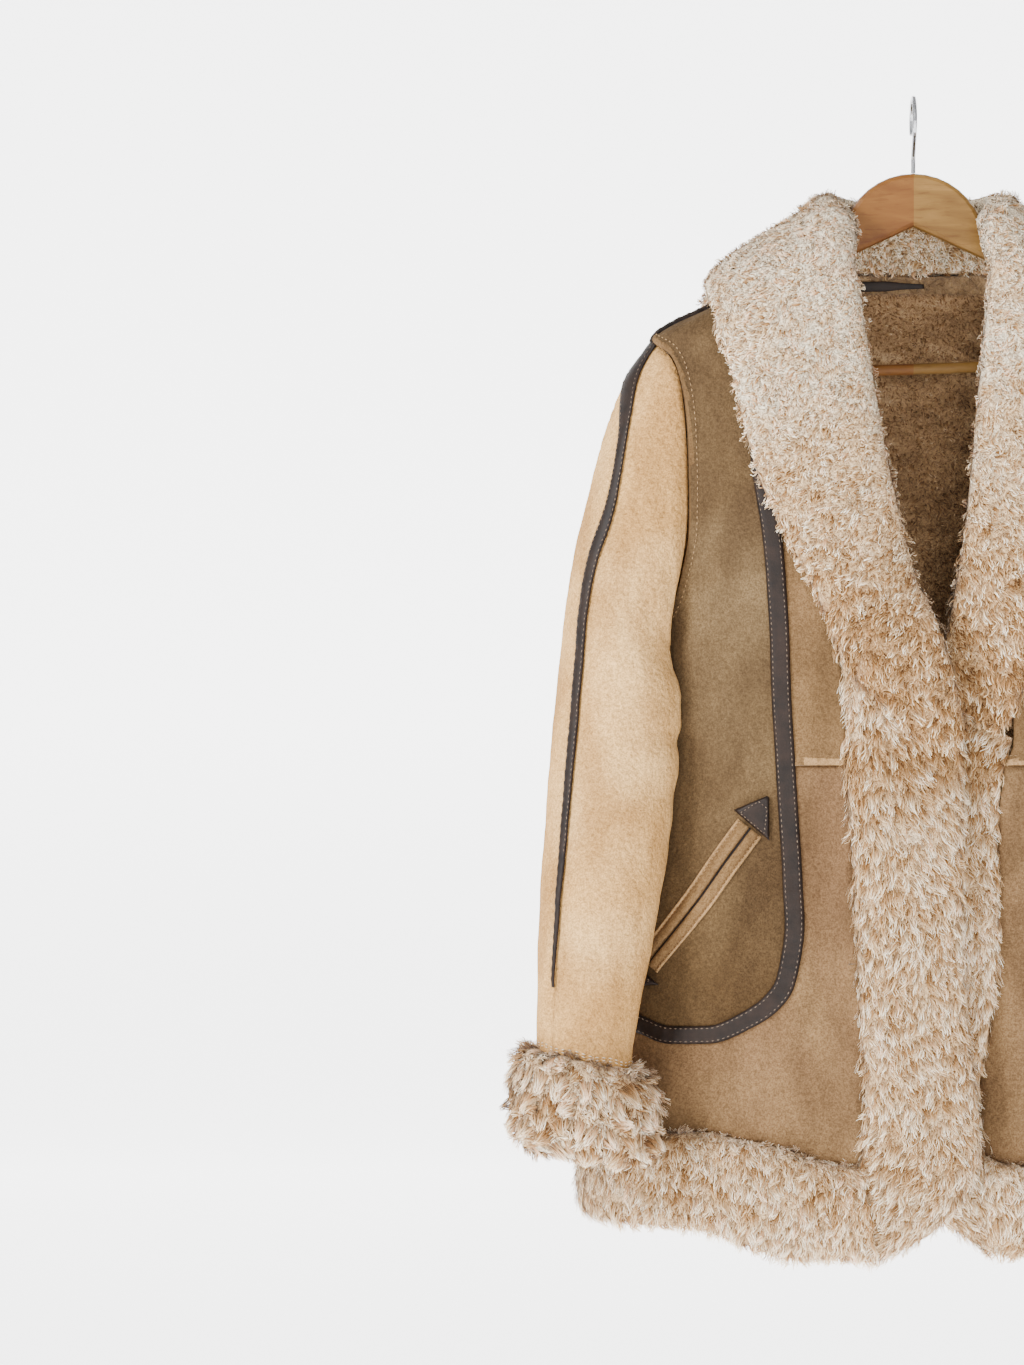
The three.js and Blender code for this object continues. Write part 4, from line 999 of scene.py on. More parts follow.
def sleeve_cloth(side, down, angle, lift=0.0):
    """Points on a sleeve with its creases, dents and swells, and their outward directions."""
    at, out = sleeve(side, down, angle, lift)
    depth = np.zeros(at.shape[:-1])
    for place, way, reach, wide, rise, slant in ARM_CREASES[side]:
        off = wrapped(angle - way)
        depth += rise * bump(off / reach) * bump((down - place - slant * off) / wide)
    seed = 20 + 5 * side
    depth += 0.6 * waves(at, 58, seed) + 0.25 * waves(at, 19, seed + 1)
    for place, half, way, rise in INNER_SWELLS:
        depth += rise * bump((down - place) / half) * bump(wrapped(angle - way) / 60)
    depth *= smooth(2, 26, down)
    return at + out * depth[..., None], out


for name, side in SIDES.items():
    for half, first in (("front", 0), ("back", 180)):
        down, angle = np.meshgrid(
            np.linspace(0, CUFF_AT + 3, 100), np.linspace(0, 180, 35), indexing="ij")
        at, out = sleeve_cloth(side, down, strip_angle(down) + first + angle)
        roll = edge_roll(down.shape, (1.6, 1.0, 1.0, 1.0))
        hide_piece(f"{name}_sleeve_{half}", at + out * roll[..., None], out, lit_sleeve_suede, thick=6)

# %% [markdown]
# Wool is the coat's main look, so it is real geometry. A soft, lumpy base gives each piece its form.
# It is a closed tube, and roots are spread over it by area, so that no part of it looks bald.


# %% Base and roots of the wool
def tube_mesh(points, out):
    """A closed base from a loop grid: columns run round the section, rows along the piece."""
    bm = bmesh.new()
    mesh = grid_mesh("base", points, out)
    bm.from_mesh(mesh)
    bpy.data.meshes.remove(mesh)
    bmesh.ops.remove_doubles(bm, verts=bm.verts, dist=0.00002)
    bmesh.ops.holes_fill(bm, edges=bm.edges, sides=0)
    bmesh.ops.recalc_face_normals(bm, faces=bm.faces)
    bmesh.ops.triangulate(bm, faces=[f for f in bm.faces if len(f.verts) > 4])
    return bm


def unit(vectors):
    return vectors / np.maximum(np.linalg.norm(vectors, axis=-1, keepdims=True), 1e-9)


def normals_of(points, out):
    """Unit normals of a grid, on the side of out."""
    normal = unit(np.cross(np.gradient(points, axis=1), np.gradient(points, axis=0)))
    return normal * np.where((normal * out).sum(-1) < 0, -1, 1)[..., None]


def sow(points, count, dice):
    """Random roots spread evenly over a grid: their place in it as row and column numbers."""
    one, other = points[1:, 1:] - points[:-1, :-1], points[1:, :-1] - points[:-1, 1:]
    area = np.linalg.norm(np.cross(one, other), axis=-1) / 2
    total = np.cumsum(area.ravel())
    cell = np.searchsorted(total, (np.arange(count) + dice.uniform(size=count)) * total[-1] / count)
    row, column = np.divmod(np.minimum(cell, area.size - 1), area.shape[1])
    return row + dice.uniform(size=count), column + dice.uniform(size=count)


def read_grid(grid, row, column):
    r = np.minimum(row.astype(int), len(grid) - 2)
    c = np.minimum(column.astype(int), grid.shape[1] - 2)
    fr, fc = (row - r)[:, None], (column - c)[:, None]
    upper = mix(grid[r, c], grid[r, c + 1], fc)
    return mix(upper, mix(grid[r + 1, c], grid[r + 1, c + 1], fc), fr)


# %% [markdown]
# Ribbons grow from the base like locks. Neighbouring locks lean toward the same point and curl the
# same way, which is what makes wool clump. Thousands of ribbons are worked out together as arrays,
# which is much quicker than one by one.


# %% Locks
def grow_locks(points, normal, comb, look, dice):
    """Ribbons as corners (ribbon, step, side, 3) in mm, soft normals and each one's tone."""
    row, column = sow(points, look["count"], dice)
    root = read_grid(points, row, column)
    up = unit(read_grid(normal, row, column))
    way = read_grid(comb, row, column)
    way = way - up * (way * up).sum(-1, keepdims=True)
    strong = np.minimum(1, np.linalg.norm(way, axis=-1, keepdims=True))
    way = unit(way)
    lie, count = look["lie"], look["count"]
    heads = dice.choice(count, max(4, int(count / look["per_lock"])), replace=False)
    tree = kdtree.KDTree(len(heads))
    for i, place in enumerate(root[heads]):
        tree.insert(place, i)
    tree.balance()
    lock = heads[[tree.find(place)[1] for place in root]]
    wild = dice.normal(size=(count, 3))
    lean = unit(up * (1 - lie) + way * lie * strong + wild * look["wild"])
    grow = np.broadcast_to(look["grow"], points.shape[:2])[..., None]
    long = look["long"] * dice.uniform(0.75, 1.25, count) * read_grid(grow, row, column)[:, 0]
    own_lean = unit(lean[lock] + 0.35 * lean)
    side_a = unit(np.cross(own_lean, up + 0.01))
    side_b = np.cross(side_a, own_lean)
    phase = dice.uniform(0, 2 * np.pi, count)[lock] + dice.normal(size=count) * 0.5
    turns = look["turns"] * dice.uniform(0.75, 1.25, count)[lock] * np.where(lock % 2, 1, -1)
    steps = look["steps"]
    t = np.linspace(0, 1, steps + 1)[None, :, None]
    spiral = phase[:, None] + 2 * np.pi * turns[:, None] * t[..., 0]
    ring_size = look["curl"] * dice.uniform(0.6, 1.3, count)[:, None, None] * t ** 0.7
    aside = (np.cos(spiral) - np.cos(phase)[:, None])[..., None] * side_a[:, None]
    above = (np.sin(spiral) - np.sin(phase)[:, None])[..., None] * side_b[:, None]
    path = root[:, None] + own_lean[:, None] * (long[:, None, None] * t)
    path = path + (aside + look["loft"] * above) * ring_size
    path = path + (root[lock] - root)[:, None] * (look["clump"] * t ** 1.2)
    path = path - up[:, None] * (look["droop"] * t ** 2 * long[:, None, None])
    ahead = unit(np.gradient(path, axis=1))
    flat = unit(np.cross(ahead, up[:, None] + 0.3 * wild[:, None]))
    width = look["wide"] * dice.uniform(0.7, 1.3, count)[:, None, None] * (1 - 0.6 * t ** 1.5)
    corners = np.stack([path - flat * width / 2, path + flat * width / 2], 2)
    facing = np.cross(flat, ahead)
    facing = facing * np.where((facing * up[:, None]).sum(-1, keepdims=True) < 0, -1, 1)
    soft = unit(facing + look["soft"] * up[:, None] + 0.5 * own_lean[:, None] * t)
    # locks farther from their clump's centre get a darker tone: painted shade in the partings between
    # clumps
    offset = np.linalg.norm(root[lock] - root, axis=-1) / look["spread"]
    own, shared = dice.normal(size=count), dice.normal(size=count)[lock]
    tone = look["tone"](root) + look["mottle"] * (own + 1.2 * shared)
    return corners, soft, np.clip(tone - 0.12 * np.clip(offset, 0, 1.5) + 0.06, 0.02, 0.98)


# %% [markdown]
# The ribbons are joined to the base as one mesh. Its normals point mostly outward, so flat ribbons
# are lit like round ones. One UV map holds the places in the colour chart, the other is for baking.

# %% Base and locks as one mesh
CHART_HALF = 0.012  # half a ribbon's width in the colour chart
GROUND_SHARE = 0.6  # of the baking map, which the base fills


def add_locks(bm, corners, soft, tone, tone_at):
    """Joins a base bmesh and ribbons into one mesh, with a colour chart and a baking map."""
    base = bpy.data.meshes.new("base")
    bm.to_mesh(base)
    bm.free()
    old = len(base.vertices)
    count, levels = corners.shape[:2]
    first = (np.arange(count)[:, None] * levels + np.arange(levels - 1)[None]) * 2 + old
    quads = np.stack([first, first + 1, first + 3, first + 2], -1).reshape(-1, 4)
    co, base_normal = np.zeros(old * 3, np.float32), np.zeros(old * 3, np.float32)
    base.vertices.foreach_get("co", co)
    base.vertices.foreach_get("normal", base_normal)
    faces = [tuple(p.vertices) for p in base.polygons]
    base_at = co.reshape(-1, 3)[[v for f in faces for v in f]] / MM
    verts = np.concatenate([co.reshape(-1, 3), (corners * MM).reshape(-1, 3)])
    mesh = bpy.data.meshes.new("wool")
    sizes = np.array([len(f) for f in faces] + [4] * len(quads), np.int32)
    loops = np.concatenate([np.array([v for f in faces for v in f], np.int32), quads.ravel()])
    mesh.vertices.add(len(verts))
    mesh.vertices.foreach_set("co", verts.astype(np.float32).ravel())
    mesh.loops.add(len(loops))
    mesh.loops.foreach_set("vertex_index", loops.astype(np.int32))
    mesh.polygons.add(len(sizes))
    starts = np.concatenate([[0], np.cumsum(sizes)[:-1]]).astype(np.int32)
    mesh.polygons.foreach_set("loop_start", starts)
    is_lock = np.arange(len(sizes)) >= len(faces)
    mesh.update(calc_edges=True)
    mesh.polygons.foreach_set("material_index", is_lock.astype(np.int32))
    ribbon_uv = np.zeros((count, levels - 1, 4, 2))
    heights = np.linspace(0.04, 0.96, levels)
    ribbon_uv[..., 0] = tone[:, None, None] + CHART_HALF * np.array([-1, 1, 1, -1])
    ribbon_uv[..., 1] = np.stack([heights[:-1], heights[:-1], heights[1:], heights[1:]], -1)[None]
    ribbon_uv = ribbon_uv.reshape(-1, 2)
    # the base takes a darker tone than the locks over it: painted shade under the locks
    shaded_ground_tone = np.clip(tone_at(base_at) - 0.08, 0.02, 0.98)
    ground_uv = np.stack([shaded_ground_tone, np.full(len(base_at), 0.3)], -1)
    cut_uv = np.zeros(len(base.loops) * 2, np.float32)
    base.uv_layers["Cloth"].data.foreach_get("uv", cut_uv)
    cut_uv = cut_uv.reshape(-1, 2) * [1, GROUND_SHARE - 0.01]
    baking_uv = ribbon_uv * [1, 1 - GROUND_SHARE] + [0, GROUND_SHARE]
    for title, one, other in (("Tone", ground_uv, ribbon_uv), ("OFBake", cut_uv, baking_uv)):
        layer = mesh.uv_layers.new(name=title)
        layer.data.foreach_set("uv", np.concatenate([one, other]).astype(np.float32).ravel())
    ribbon_normal = np.repeat(soft[:, :, None], 2, axis=2).reshape(-1, 3)
    mesh.shade_smooth()
    mesh.normals_split_custom_set_from_vertices(
        np.concatenate([base_normal.reshape(-1, 3), ribbon_normal]).tolist())
    bpy.data.meshes.remove(base)
    return mesh


# %% [markdown]
# Every wool piece takes the same steps: the arch of its section is made lumpy, locks grow on it, and
# both are joined. How long, curly or clumped the wool is stands in one list of values, and each
# piece below changes only some of them.

# %% Wool pieces
wool_faces = 0


def wool_piece(name, section, comb, look, seed, replaces=True, finishes=None):
    """A fur piece from its full section loop, the arch of it that grows locks, and outward ways."""
    global wool_faces
    loop, arch, out = section
    dice = np.random.default_rng(seed)
    normal = normals_of(arch, out[:, :arch.shape[1]])
    lumps = waves(arch, look["lump"], seed) + 0.5 * waves(arch, look["lump"] * 0.55, seed + 1)
    rounded = np.sin(np.linspace(0.12, np.pi - 0.12, arch.shape[1]))[None] ** 0.5
    arch = arch + normal * (look["lumps"] * lumps * rounded)[..., None]
    loop = loop.copy()
    loop[:, :arch.shape[1]] = arch
    if arch.shape[1] < loop.shape[1]:
        loop[:, -1] = loop[:, 0]
    corners, soft, tone = grow_locks(arch, normal, comb, look, dice)
    mesh = add_locks(tube_mesh(loop, out), corners, soft, tone, look["tone"])
    piece = add_piece(name, mesh, finishes or (pale_ground, pale_locks), replaces)
    faces = sum(len(p.vertices) - 2 for p in mesh.polygons)
    wool_faces += faces
    print(name, "locks", look["count"], "triangles", faces)
    return piece


def wool_look(**changes):
    look = dict(count=9000, per_lock=11, long=10, lie=0.72, wild=0.16, turns=0.9, curl=1.3, steps=3,
                clump=0.4, droop=0.12, wide=1.0, spread=6, lumps=0.9, lump=17, loft=0.6, soft=1.0,
                mottle=0.14, grow=1.0,
                tone=lambda at: 0.56 + 0.1 * waves(at, 90, 8) + 0.12 * waves(at, 21, 9))
    look.update(changes)
    return look


def arch_of(spot, rows, across, low, high, under=6):
    """Full loop and arch of a fur section: spot(row share, across share, lift) gives points."""
    theta = np.linspace(0, np.pi, across + 1)
    share = (1 - np.cos(theta)) / 2
    v, s = np.meshgrid(np.linspace(0, 1, rows + 1), share, indexing="ij")
    swell = np.sin(theta)[None] ** 0.42 * np.ones_like(v)
    swell[:, [0, -1]] = 0
    arch, out = spot(v, s, low(v, s) + (high(v, s) - low(v, s)) * swell)
    back_share = np.linspace(1, 0, under + 1)[1:]
    v2, s2 = np.meshgrid(np.linspace(0, 1, rows + 1), back_share, indexing="ij")
    below, below_out = spot(v2, s2, low(v2, s2))
    return np.concatenate([arch, below], 1), arch, np.concatenate([out, below_out], 1)


# %% [markdown]
# The front bands run from the collar down to the hem and turn its corner. Their wool is long and
# combed downward and a little outward, so it lies in streaks.

# %% Front bands and hem
UNDER_TIPS = 3.5  # the base stays this far below the wool's outer surface
PIVOTS = [0.35, 0.6, 0.8, 0.92, 1]  # shares of the corner's last step, where the band turns


def level(height):
    return lambda v, s: np.full(v.shape, height)


def band_height(v, s):
    """A front band starts flat under the collar."""
    return FUR_BAND * mix(0.36, 1, smooth(0.1, 0.3, v)) - UNDER_TIPS


def spot_between(side, one, other):
    """Spots on the body between two lists of places, read by share along and share across."""
    def spot(v, s, lift):
        cells = mix(along(one, v), along(other, v), s[..., None])
        return body(side, cells[..., 0], cells[..., 1], lift)
    return spot


def ways_on(section):
    """Unit ways across and down the arch of a section."""
    return unit(np.gradient(section[1], axis=1)), unit(np.gradient(section[1], axis=0))


def ruffle(section, length, seed):
    """Smooth random ways that turn the locks a little from their comb."""
    return np.stack([waves(section[1], length, seed + k) for k in range(3)], -1)


under_skin = level(-SKIN + 0.5)
# the tone dips near z -522: painted shade where the collar's tip lies over the front band
long_look = dict(long=12, lie=0.8, wild=0.2, turns=1.1, curl=1.6, clump=0.34, droop=0.1,
                 per_lock=11, spread=7, lump=22, lumps=1.3, wide=0.72, mottle=0.14,
                 tone=lambda at: 0.56 + 0.1 * waves(at, 80, 8) + 0.12 * waves(at, 20, 9)
                 - 0.22 * bump((at[..., 2] + 522) / 20))
for name, side in SIDES.items():
    front = FRONTS[name]
    edge = front_edge(front)
    start = edge[front["band_start"]:-1]
    pivots = [mix(edge[-2], edge[-1], share) for share in PIVOTS]
    start = np.concatenate([start, pivots])
    spot = spot_between(side, start, placed(front["band_front"]))
    section = arch_of(spot, 96, 24, under_skin, band_height)
    across, down = ways_on(section)
    spread = np.linspace(-1, 1, across.shape[1])[None, :, None]
    comb = unit(down + across * (0.35 * spread + 0.12) + 0.25 * ruffle(section, 55, 3))
    wool_piece(f"{name}_front_band", section, comb, wool_look(count=13500, **long_look), 100 + side)

    spot = spot_between(side, front["hem_top"], front["hem_low"])
    section = arch_of(spot, 64, 20, under_skin, level(FUR_HEM - UNDER_TIPS))
    comb = unit(ways_on(section)[0] + 0.3 * ruffle(section, 45, 13))
    wool_piece(f"{name}_hem_band", section, comb, wool_look(count=8000, **long_look), 120 + side)


def back_hem_spot(v, s, lift):
    turn = -2 * v
    low_z = HEM_BACK_Z + 2 * np.sin(np.pi * turn) ** 2
    return body(RIGHT, turn, mix(HEM_SEAM_Z, low_z, s), lift)


section = arch_of(back_hem_spot, 104, 18, under_skin, level(FUR_HEM - UNDER_TIPS))
comb = unit(ways_on(section)[0] + 0.3 * ruffle(section, 45, 23))
wool_piece("back_hem_band", section, comb, wool_look(count=8500, **long_look), 130)

# %% [markdown]
# The shawl collar lies over the shoulders and meets at the centre back. Its wool is shorter and
# tightly curled above, and grows longer and straighter toward its points.

# %% Collar
LAST_STATION = 13  # stations count from the collar's point to the centre back
# station, inner turn and z or away and z, outer likewise, base, thick
BACK_COLLAR = [
    (9, 0.45, -92, 0.18, -166, 2.5, 32), (10, 0.05, -77, -0.1, -160, 3, 30),
    (11, -0.35, -76, -0.42, -180, 3.5, 30), (12, -0.7, -79, -0.7, -205, 3.5, 29),
    (13, -1, -82, -1, -215, 3, 28),
]
FRONT_COLLAR = {
    "right": [
        (0, -34, -505, -6, -512, 9, 9), (1, -26, -470, 33, -477, 8.5, 15),
        (2, -17, -437, 58, -452, 8.5, 20), (3, 1, -391, 79, -398, 6, 24),
        (4, 17, -330, 104, -348, 2, 28), (5, 28, -280, 124, -300, 2, 29),
        (6, 36, -230, 137, -252, 2, 30), (7, 42, -190, 147, -208, 2, 31),
        (8, 46, -155, 152, -178, 2, 32),
    ],
    "left": [
        (0, 9, -478, 62, -500, 1.5, 18), (1, 12, -468, 74, -483, 1.5, 20),
        (2, 16.5, -445, 82, -458, 1.5, 24), (3, 27, -391, 98, -408, 2, 26),
        (4, 36, -330, 116, -352, 2, 28), (5, 41, -280, 131, -302, 2, 29),
        (6, 46, -230, 142, -252, 2, 30), (7, 50, -190, 149, -208, 2, 31),
        (8, 53, -155, 152, -178, 2, 32),
    ],
}


def collar_tone(at):
    """Paler toward the shoulders and rosier in patches."""
    shoulder = smooth(-500, -150, at[..., 2])
    return 0.34 + 0.47 * shoulder + 0.09 * waves(at, 90, 8) + 0.12 * waves(at, 15, 9)


for name, side in SIDES.items():
    rows = [(k, float(to_turn(a, az)), az, float(to_turn(b, bz)), bz, base, thick)
            for k, a, az, b, bz, base, thick in FRONT_COLLAR[name]]
    shape = table(rows + BACK_COLLAR)

    def collar_spot(v, s, lift, shape=shape, side=side):
        it, iz, ot, oz, _, _ = shape(LAST_STATION * v)
        return body(side, mix(it, ot, s), mix(iz, oz, s), lift)

    def collar_low(v, s, shape=shape):
        station = LAST_STATION * v
        return shape(station)[4] + 2.8 * smooth(0.45, 0.75, s) * smooth(3, 4, station) + 1

    def collar_high(v, s, shape=shape):
        base, thick = shape(LAST_STATION * v)[4:]
        return base + thick - UNDER_TIPS

    section = arch_of(collar_spot, 130, 30, collar_low, collar_high)
    across, down = ways_on(section)
    straight = 1 - smooth(0.1, 0.42, np.linspace(0, 1, len(down)))[:, None, None]
    comb = -down * (0.35 + 0.65 * straight) + across * 0.55
    comb = unit(comb + (0.9 - 0.6 * straight) * ruffle(section, 26, 33))
    look = wool_look(count=14500, per_lock=7, steps=4, long=9, lie=0.76, wild=0.28, turns=1.0,
                     curl=1.3, clump=0.28, spread=4, grow=0.72 + 0.5 * straight[..., 0], lump=15,
                     lumps=0.9, loft=0.7, tone=collar_tone)
    wool_piece(f"{name}_collar", section, comb, look, 140 + side)

# %% [markdown]
# The cuffs are turned-back wool, the shaggiest on the coat. It parts into big tufts that fall
# open at the end of the sleeve.

# %% Cuffs
for name, side in SIDES.items():

    def cuff_spot(v, s, lift, side=side):
        return sleeve(side, mix(CUFF_AT, CUFF_END, s), STRIP_ANGLE + 360 * v, lift)

    section = arch_of(cuff_spot, 64, 20, under_skin, level(FUR_CUFF - UNDER_TIPS - 1.5))
    comb = unit(ways_on(section)[0] + 0.9 * ruffle(section, 30, 43))
    look = wool_look(count=8500, per_lock=32, long=11.5, lie=0.6, wild=0.2, turns=0.6, curl=1.5,
                     clump=0.72, spread=11, lump=20, lumps=3.0, droop=0.16, wide=0.9, mottle=0.2,
                     tone=lambda at: 0.62 + 0.14 * waves(at, 40, 8) + 0.2 * waves(at, 13, 9))
    wool_piece(f"{name}_cuff", section, comb, look, 150 + side)

# %% [markdown]
# Inside the neck, a stand of pale wool runs round under the hanger, and the brown clipped wool of
# the back shows in the opening. Both look inward, so their locks grow toward the front.

# %% Neck stand and inner wool
stand_line = neck_line[1:-1]


def stand_spot(v, s, lift):
    cells = along(stand_line, v)
    at, out = body(RIGHT, cells[..., 0], mix(cells[..., 1] + 0.8, -84, s), lift)
    return at, -out


section = arch_of(stand_spot, 50, 14, level(-1.5), level(-9.0), under=4)
comb = ruffle(section, 20, 53) + [0, 0, -0.5]
look = wool_look(count=2600, per_lock=8, long=7, lie=0.6, wild=0.3, curl=1.6, spread=5, lump=10,
                 lumps=1.0, tone=lambda at: 0.74 + 0.14 * waves(at, 14, 9))
wool_piece("collar_stand", section, comb, look, 160)

turn, height = np.meshgrid(np.linspace(-0.62, -1.38, 40), np.linspace(-150, -500, 76))
patch, out = body(RIGHT, turn, height, -SKIN - 1.6)
under, _ = body(RIGHT, turn[:, ::-1], height, -SKIN - 0.4)
section = (np.concatenate([patch, under], 1), patch, np.concatenate([-out, -out], 1))
comb = ruffle(section, 16, 63) + [0, 0, -0.3]
look = wool_look(count=4800, per_lock=6, long=6, lie=0.78, wild=0.32, curl=1.0, spread=4, lump=9,
                 wide=1.2, lumps=0.8,
                 tone=lambda at: 0.5 + 0.24 * waves(at, 34, 8) + 0.18 * waves(at, 11, 9))
wool_piece("back_inner_wool", section, comb, look, 170, replaces=False,
           finishes=(brown_ground, brown_locks))
print("wool triangles in all", wool_faces)

# %% [markdown]
# Stitches are little beads of thread. One rounded form is made with bmesh and repeated along a seam
# as an array, and each bead turns with the seam like thread between two holes.


# %% Stitches
def bead_form():
    bm = bmesh.new()
    bmesh.ops.create_uvsphere(bm, u_segments=4, v_segments=2, radius=0.5)
    verts = np.array([v.co for v in bm.verts])
    faces = np.array([[v.index for v in f.verts] for f in bm.faces])
    bm.free()
    return verts, faces


BEAD, BEAD_FACES = bead_form()
print("corners of a bead", len(BEAD))
stitch_rows = {}


def stitch(kind, path, out, step=4.3, long=2.9, wide=0.95, tall=0.7):
    """Lays beads along a path of points in mm; kind names the mesh they are joined into."""
    reach = np.concatenate([[0], np.cumsum(np.linalg.norm(np.diff(path, axis=0), axis=1))])

    def read(values, distance):
        return np.stack([np.interp(distance, reach, values[:, k]) for k in range(3)], -1)

    places = np.arange(step / 2, reach[-1], step)
    at, up = read(path, places), unit(read(out, places))
    way = unit(read(path, places + 0.5) - read(path, places - 0.5))
    aside = np.cross(up, way)
    form = BEAD * [long, wide, tall]
    verts = at[:, None] + form[None, :, :1] * way[:, None] + form[None, :, 1:2] * aside[:, None]
    verts = verts + form[None, :, 2:] * up[:, None]
    stitch_rows.setdefault(kind, []).append(verts.reshape(-1, 3))


# %% [markdown]
# Leather strips cover the princess seams, the shoulders and the sleeves. Each is a thin domed
# ribbon along its seam, with small puckers where the stitches draw it in.


# %% Strips
def beside(side, places, distance, lift=0.0):
    """Points at a distance aside from a line of places on the body, in mm, and their outward ways."""
    at, out = body(side, places[:, 0], places[:, 1])
    way = unit(np.gradient(at, axis=0))
    away = np.cross(way, out) * side
    moved = at + away * np.asarray(distance)[..., None]
    return moved + out * (lift + cloth(moved, out))[..., None], out


def ribbon(side, places, distances, lift=0.0):
    """A grid along a line of places on the body, with a column at each distance aside."""
    columns = [beside(side, places, distance, lift) for distance in distances]
    return tuple(np.stack(parts, 1) for parts in zip(*columns))


STRIP, SHOULDER_STRIP, RISE, LEATHER = 15.6, 12.5, 0.8, 2.2


def strip_mesh(points, out, half_width, seed):
    """Lifts a strip's grid into a dome with turned edges and puckers."""
    u = np.linspace(-1, 1, points.shape[1])[None, :]
    dome = 1 - np.abs(u) ** 5
    steps = np.diff(points[:, 3], axis=0, prepend=points[:1, 3])
    reach = np.cumsum(np.linalg.norm(steps, axis=1))[:, None]
    pull = np.sin(reach * 2 * np.pi / 8.6 + 0.8 * np.sin(reach / 19 + seed))
    pucker = 0.34 * pull * np.abs(u) ** 0.5
    groove = -0.45 * bump((np.abs(u) * half_width - (half_width - 2.1)) / 0.8)
    tall = 0.5 + (LEATHER - 0.4) * dome + (pucker + groove) * (np.abs(u) < 0.99)
    tall = tall + 0.25 * waves(points, 24, seed)
    return points + out * tall[..., None]


def leather_piece(name, points, out, thick=1.5):
    piece = add_piece(name, grid_mesh(name, points, out), [dark_leather])
    wall = piece.modifiers.new("leather", "SOLIDIFY")
    wall.thickness = thick * MM
    wall.offset = -1
    return piece


COLUMNS = np.array([-1, -0.9, -0.72, -0.36, 0, 0.36, 0.72, 0.9, 1])
STITCHED_COLUMNS = (2, 6)


def edge_stitches(points, out):
    """Rows of dark stitches along both edges of a strip."""
    for column in STITCHED_COLUMNS:
        way = out[:, column]
        stitch("dark_thread", points[:, column] + way * 0.1, way)


for name, side in SIDES.items():
    path = PRINCESS.copy()
    path[0] = mix(PRINCESS[0], PRINCESS[1], 0.9)
    path[-1] = mix(PRINCESS[-2], PRINCESS[-1], 0.97)
    shares = np.linspace(0, 1, 330)
    places = along(path, shares)
    half = mix(SHOULDER_STRIP, STRIP, smooth(0.12, 0.3, shares)) / 2
    half = mix(half, 7.0, smooth(0.72, 0.85, shares))
    sheet_at, sheet_out = ribbon(side, places, [half * c for c in COLUMNS], RISE)
    points = strip_mesh(sheet_at, sheet_out, STRIP / 2, 5 + side)
    leather_piece(f"{name}_princess_strip", points, sheet_out)
    edge_stitches(points, sheet_out)

    ridge_z = np.linspace(PRINCESS_Z + 3, SHOULDER_Z, 60)
    reach = (SHOULDER_STRIP / 2 / body_size(ridge_z)[1]) ** (DEPTH_POWER / 2) * 2 / np.pi
    turns = reach[:, None] * COLUMNS[None]
    sheet_at, sheet_out = body(side, turns, np.repeat(ridge_z[:, None], len(COLUMNS), 1), RISE)
    sheet_at = sheet_at + sheet_out * cloth(sheet_at, sheet_out)[..., None]
    points = strip_mesh(sheet_at, sheet_out, SHOULDER_STRIP / 2, 8 + side)
    # thick enough to reach the rolled edges of both skins below it
    leather_piece(f"{name}_shoulder_strip", points, sheet_out, thick=4.4)
    edge_stitches(points, sheet_out)

    strip_width = table([[0, 12.5], [90, 12.5], [175, 9.4], [253, 7.8], [400, 2.3]])
    downs = np.linspace(0.6, 404, 230)
    half = strip_width(downs)[0] / 2
    turn = np.degrees(half / sleeve_row(downs)[4])[:, None] * COLUMNS[None]
    down = np.repeat(downs[:, None], len(COLUMNS), 1)
    sheet_at, sheet_out = sleeve_cloth(side, down, strip_angle(down) + turn)
    sheet_at = sheet_at + sheet_out * RISE
    points = strip_mesh(sheet_at, sheet_out, 5.0, 11 + side)
    leather_piece(f"{name}_sleeve_strip", points, sheet_out)
    upper = downs < 300
    edge_stitches(points[upper], sheet_out[upper])

# %% [markdown]
# The pocket is a slanted slit between two padded welts of suede, with a leather tab sewn over each
# end. The welts are domed grids with a raised piped edge, and a narrow dark strip lies deep
# between them as painted shade, where the slit opens.

# %% Pockets
SLIT = np.array([[132.4, -577], [151.3, -603.3], [170, -630.6], [189.5, -656.3], [210.6, -684.4]])
TABS = {
    "top": ([145.2, -562.8], [117.6, -586.6], [117.6, -551]),
    "bottom": ([202.5, -700.5], [226, -680.5], [226.5, -704]),
}
TAB_BLUNT = 0.94  # share of the way to its tip where a tab is cut off
POCKET_STEPS, PIPED_COLUMNS = 90, 4
WELT_WALL, SLIT_SHADE_WALL = 1.4 * MM, 0.6 * MM
# distance from the welt's outer edge: piping, groove with stitches, then the padded fold
WELT_ACROSS = np.array([0, 0.4, 1.1, 1.8, 2.3, 2.8, 3.6, 5.0, 7.0, 9.0, 10.6, 11.6, 12.0])
WELT_LIFT = np.array([0.3, 1.5, 2.2, 1.6, 0.9, 0.7, 1.7, 2.9, 3.7, 4.0, 3.7, 2.6, 0.8])

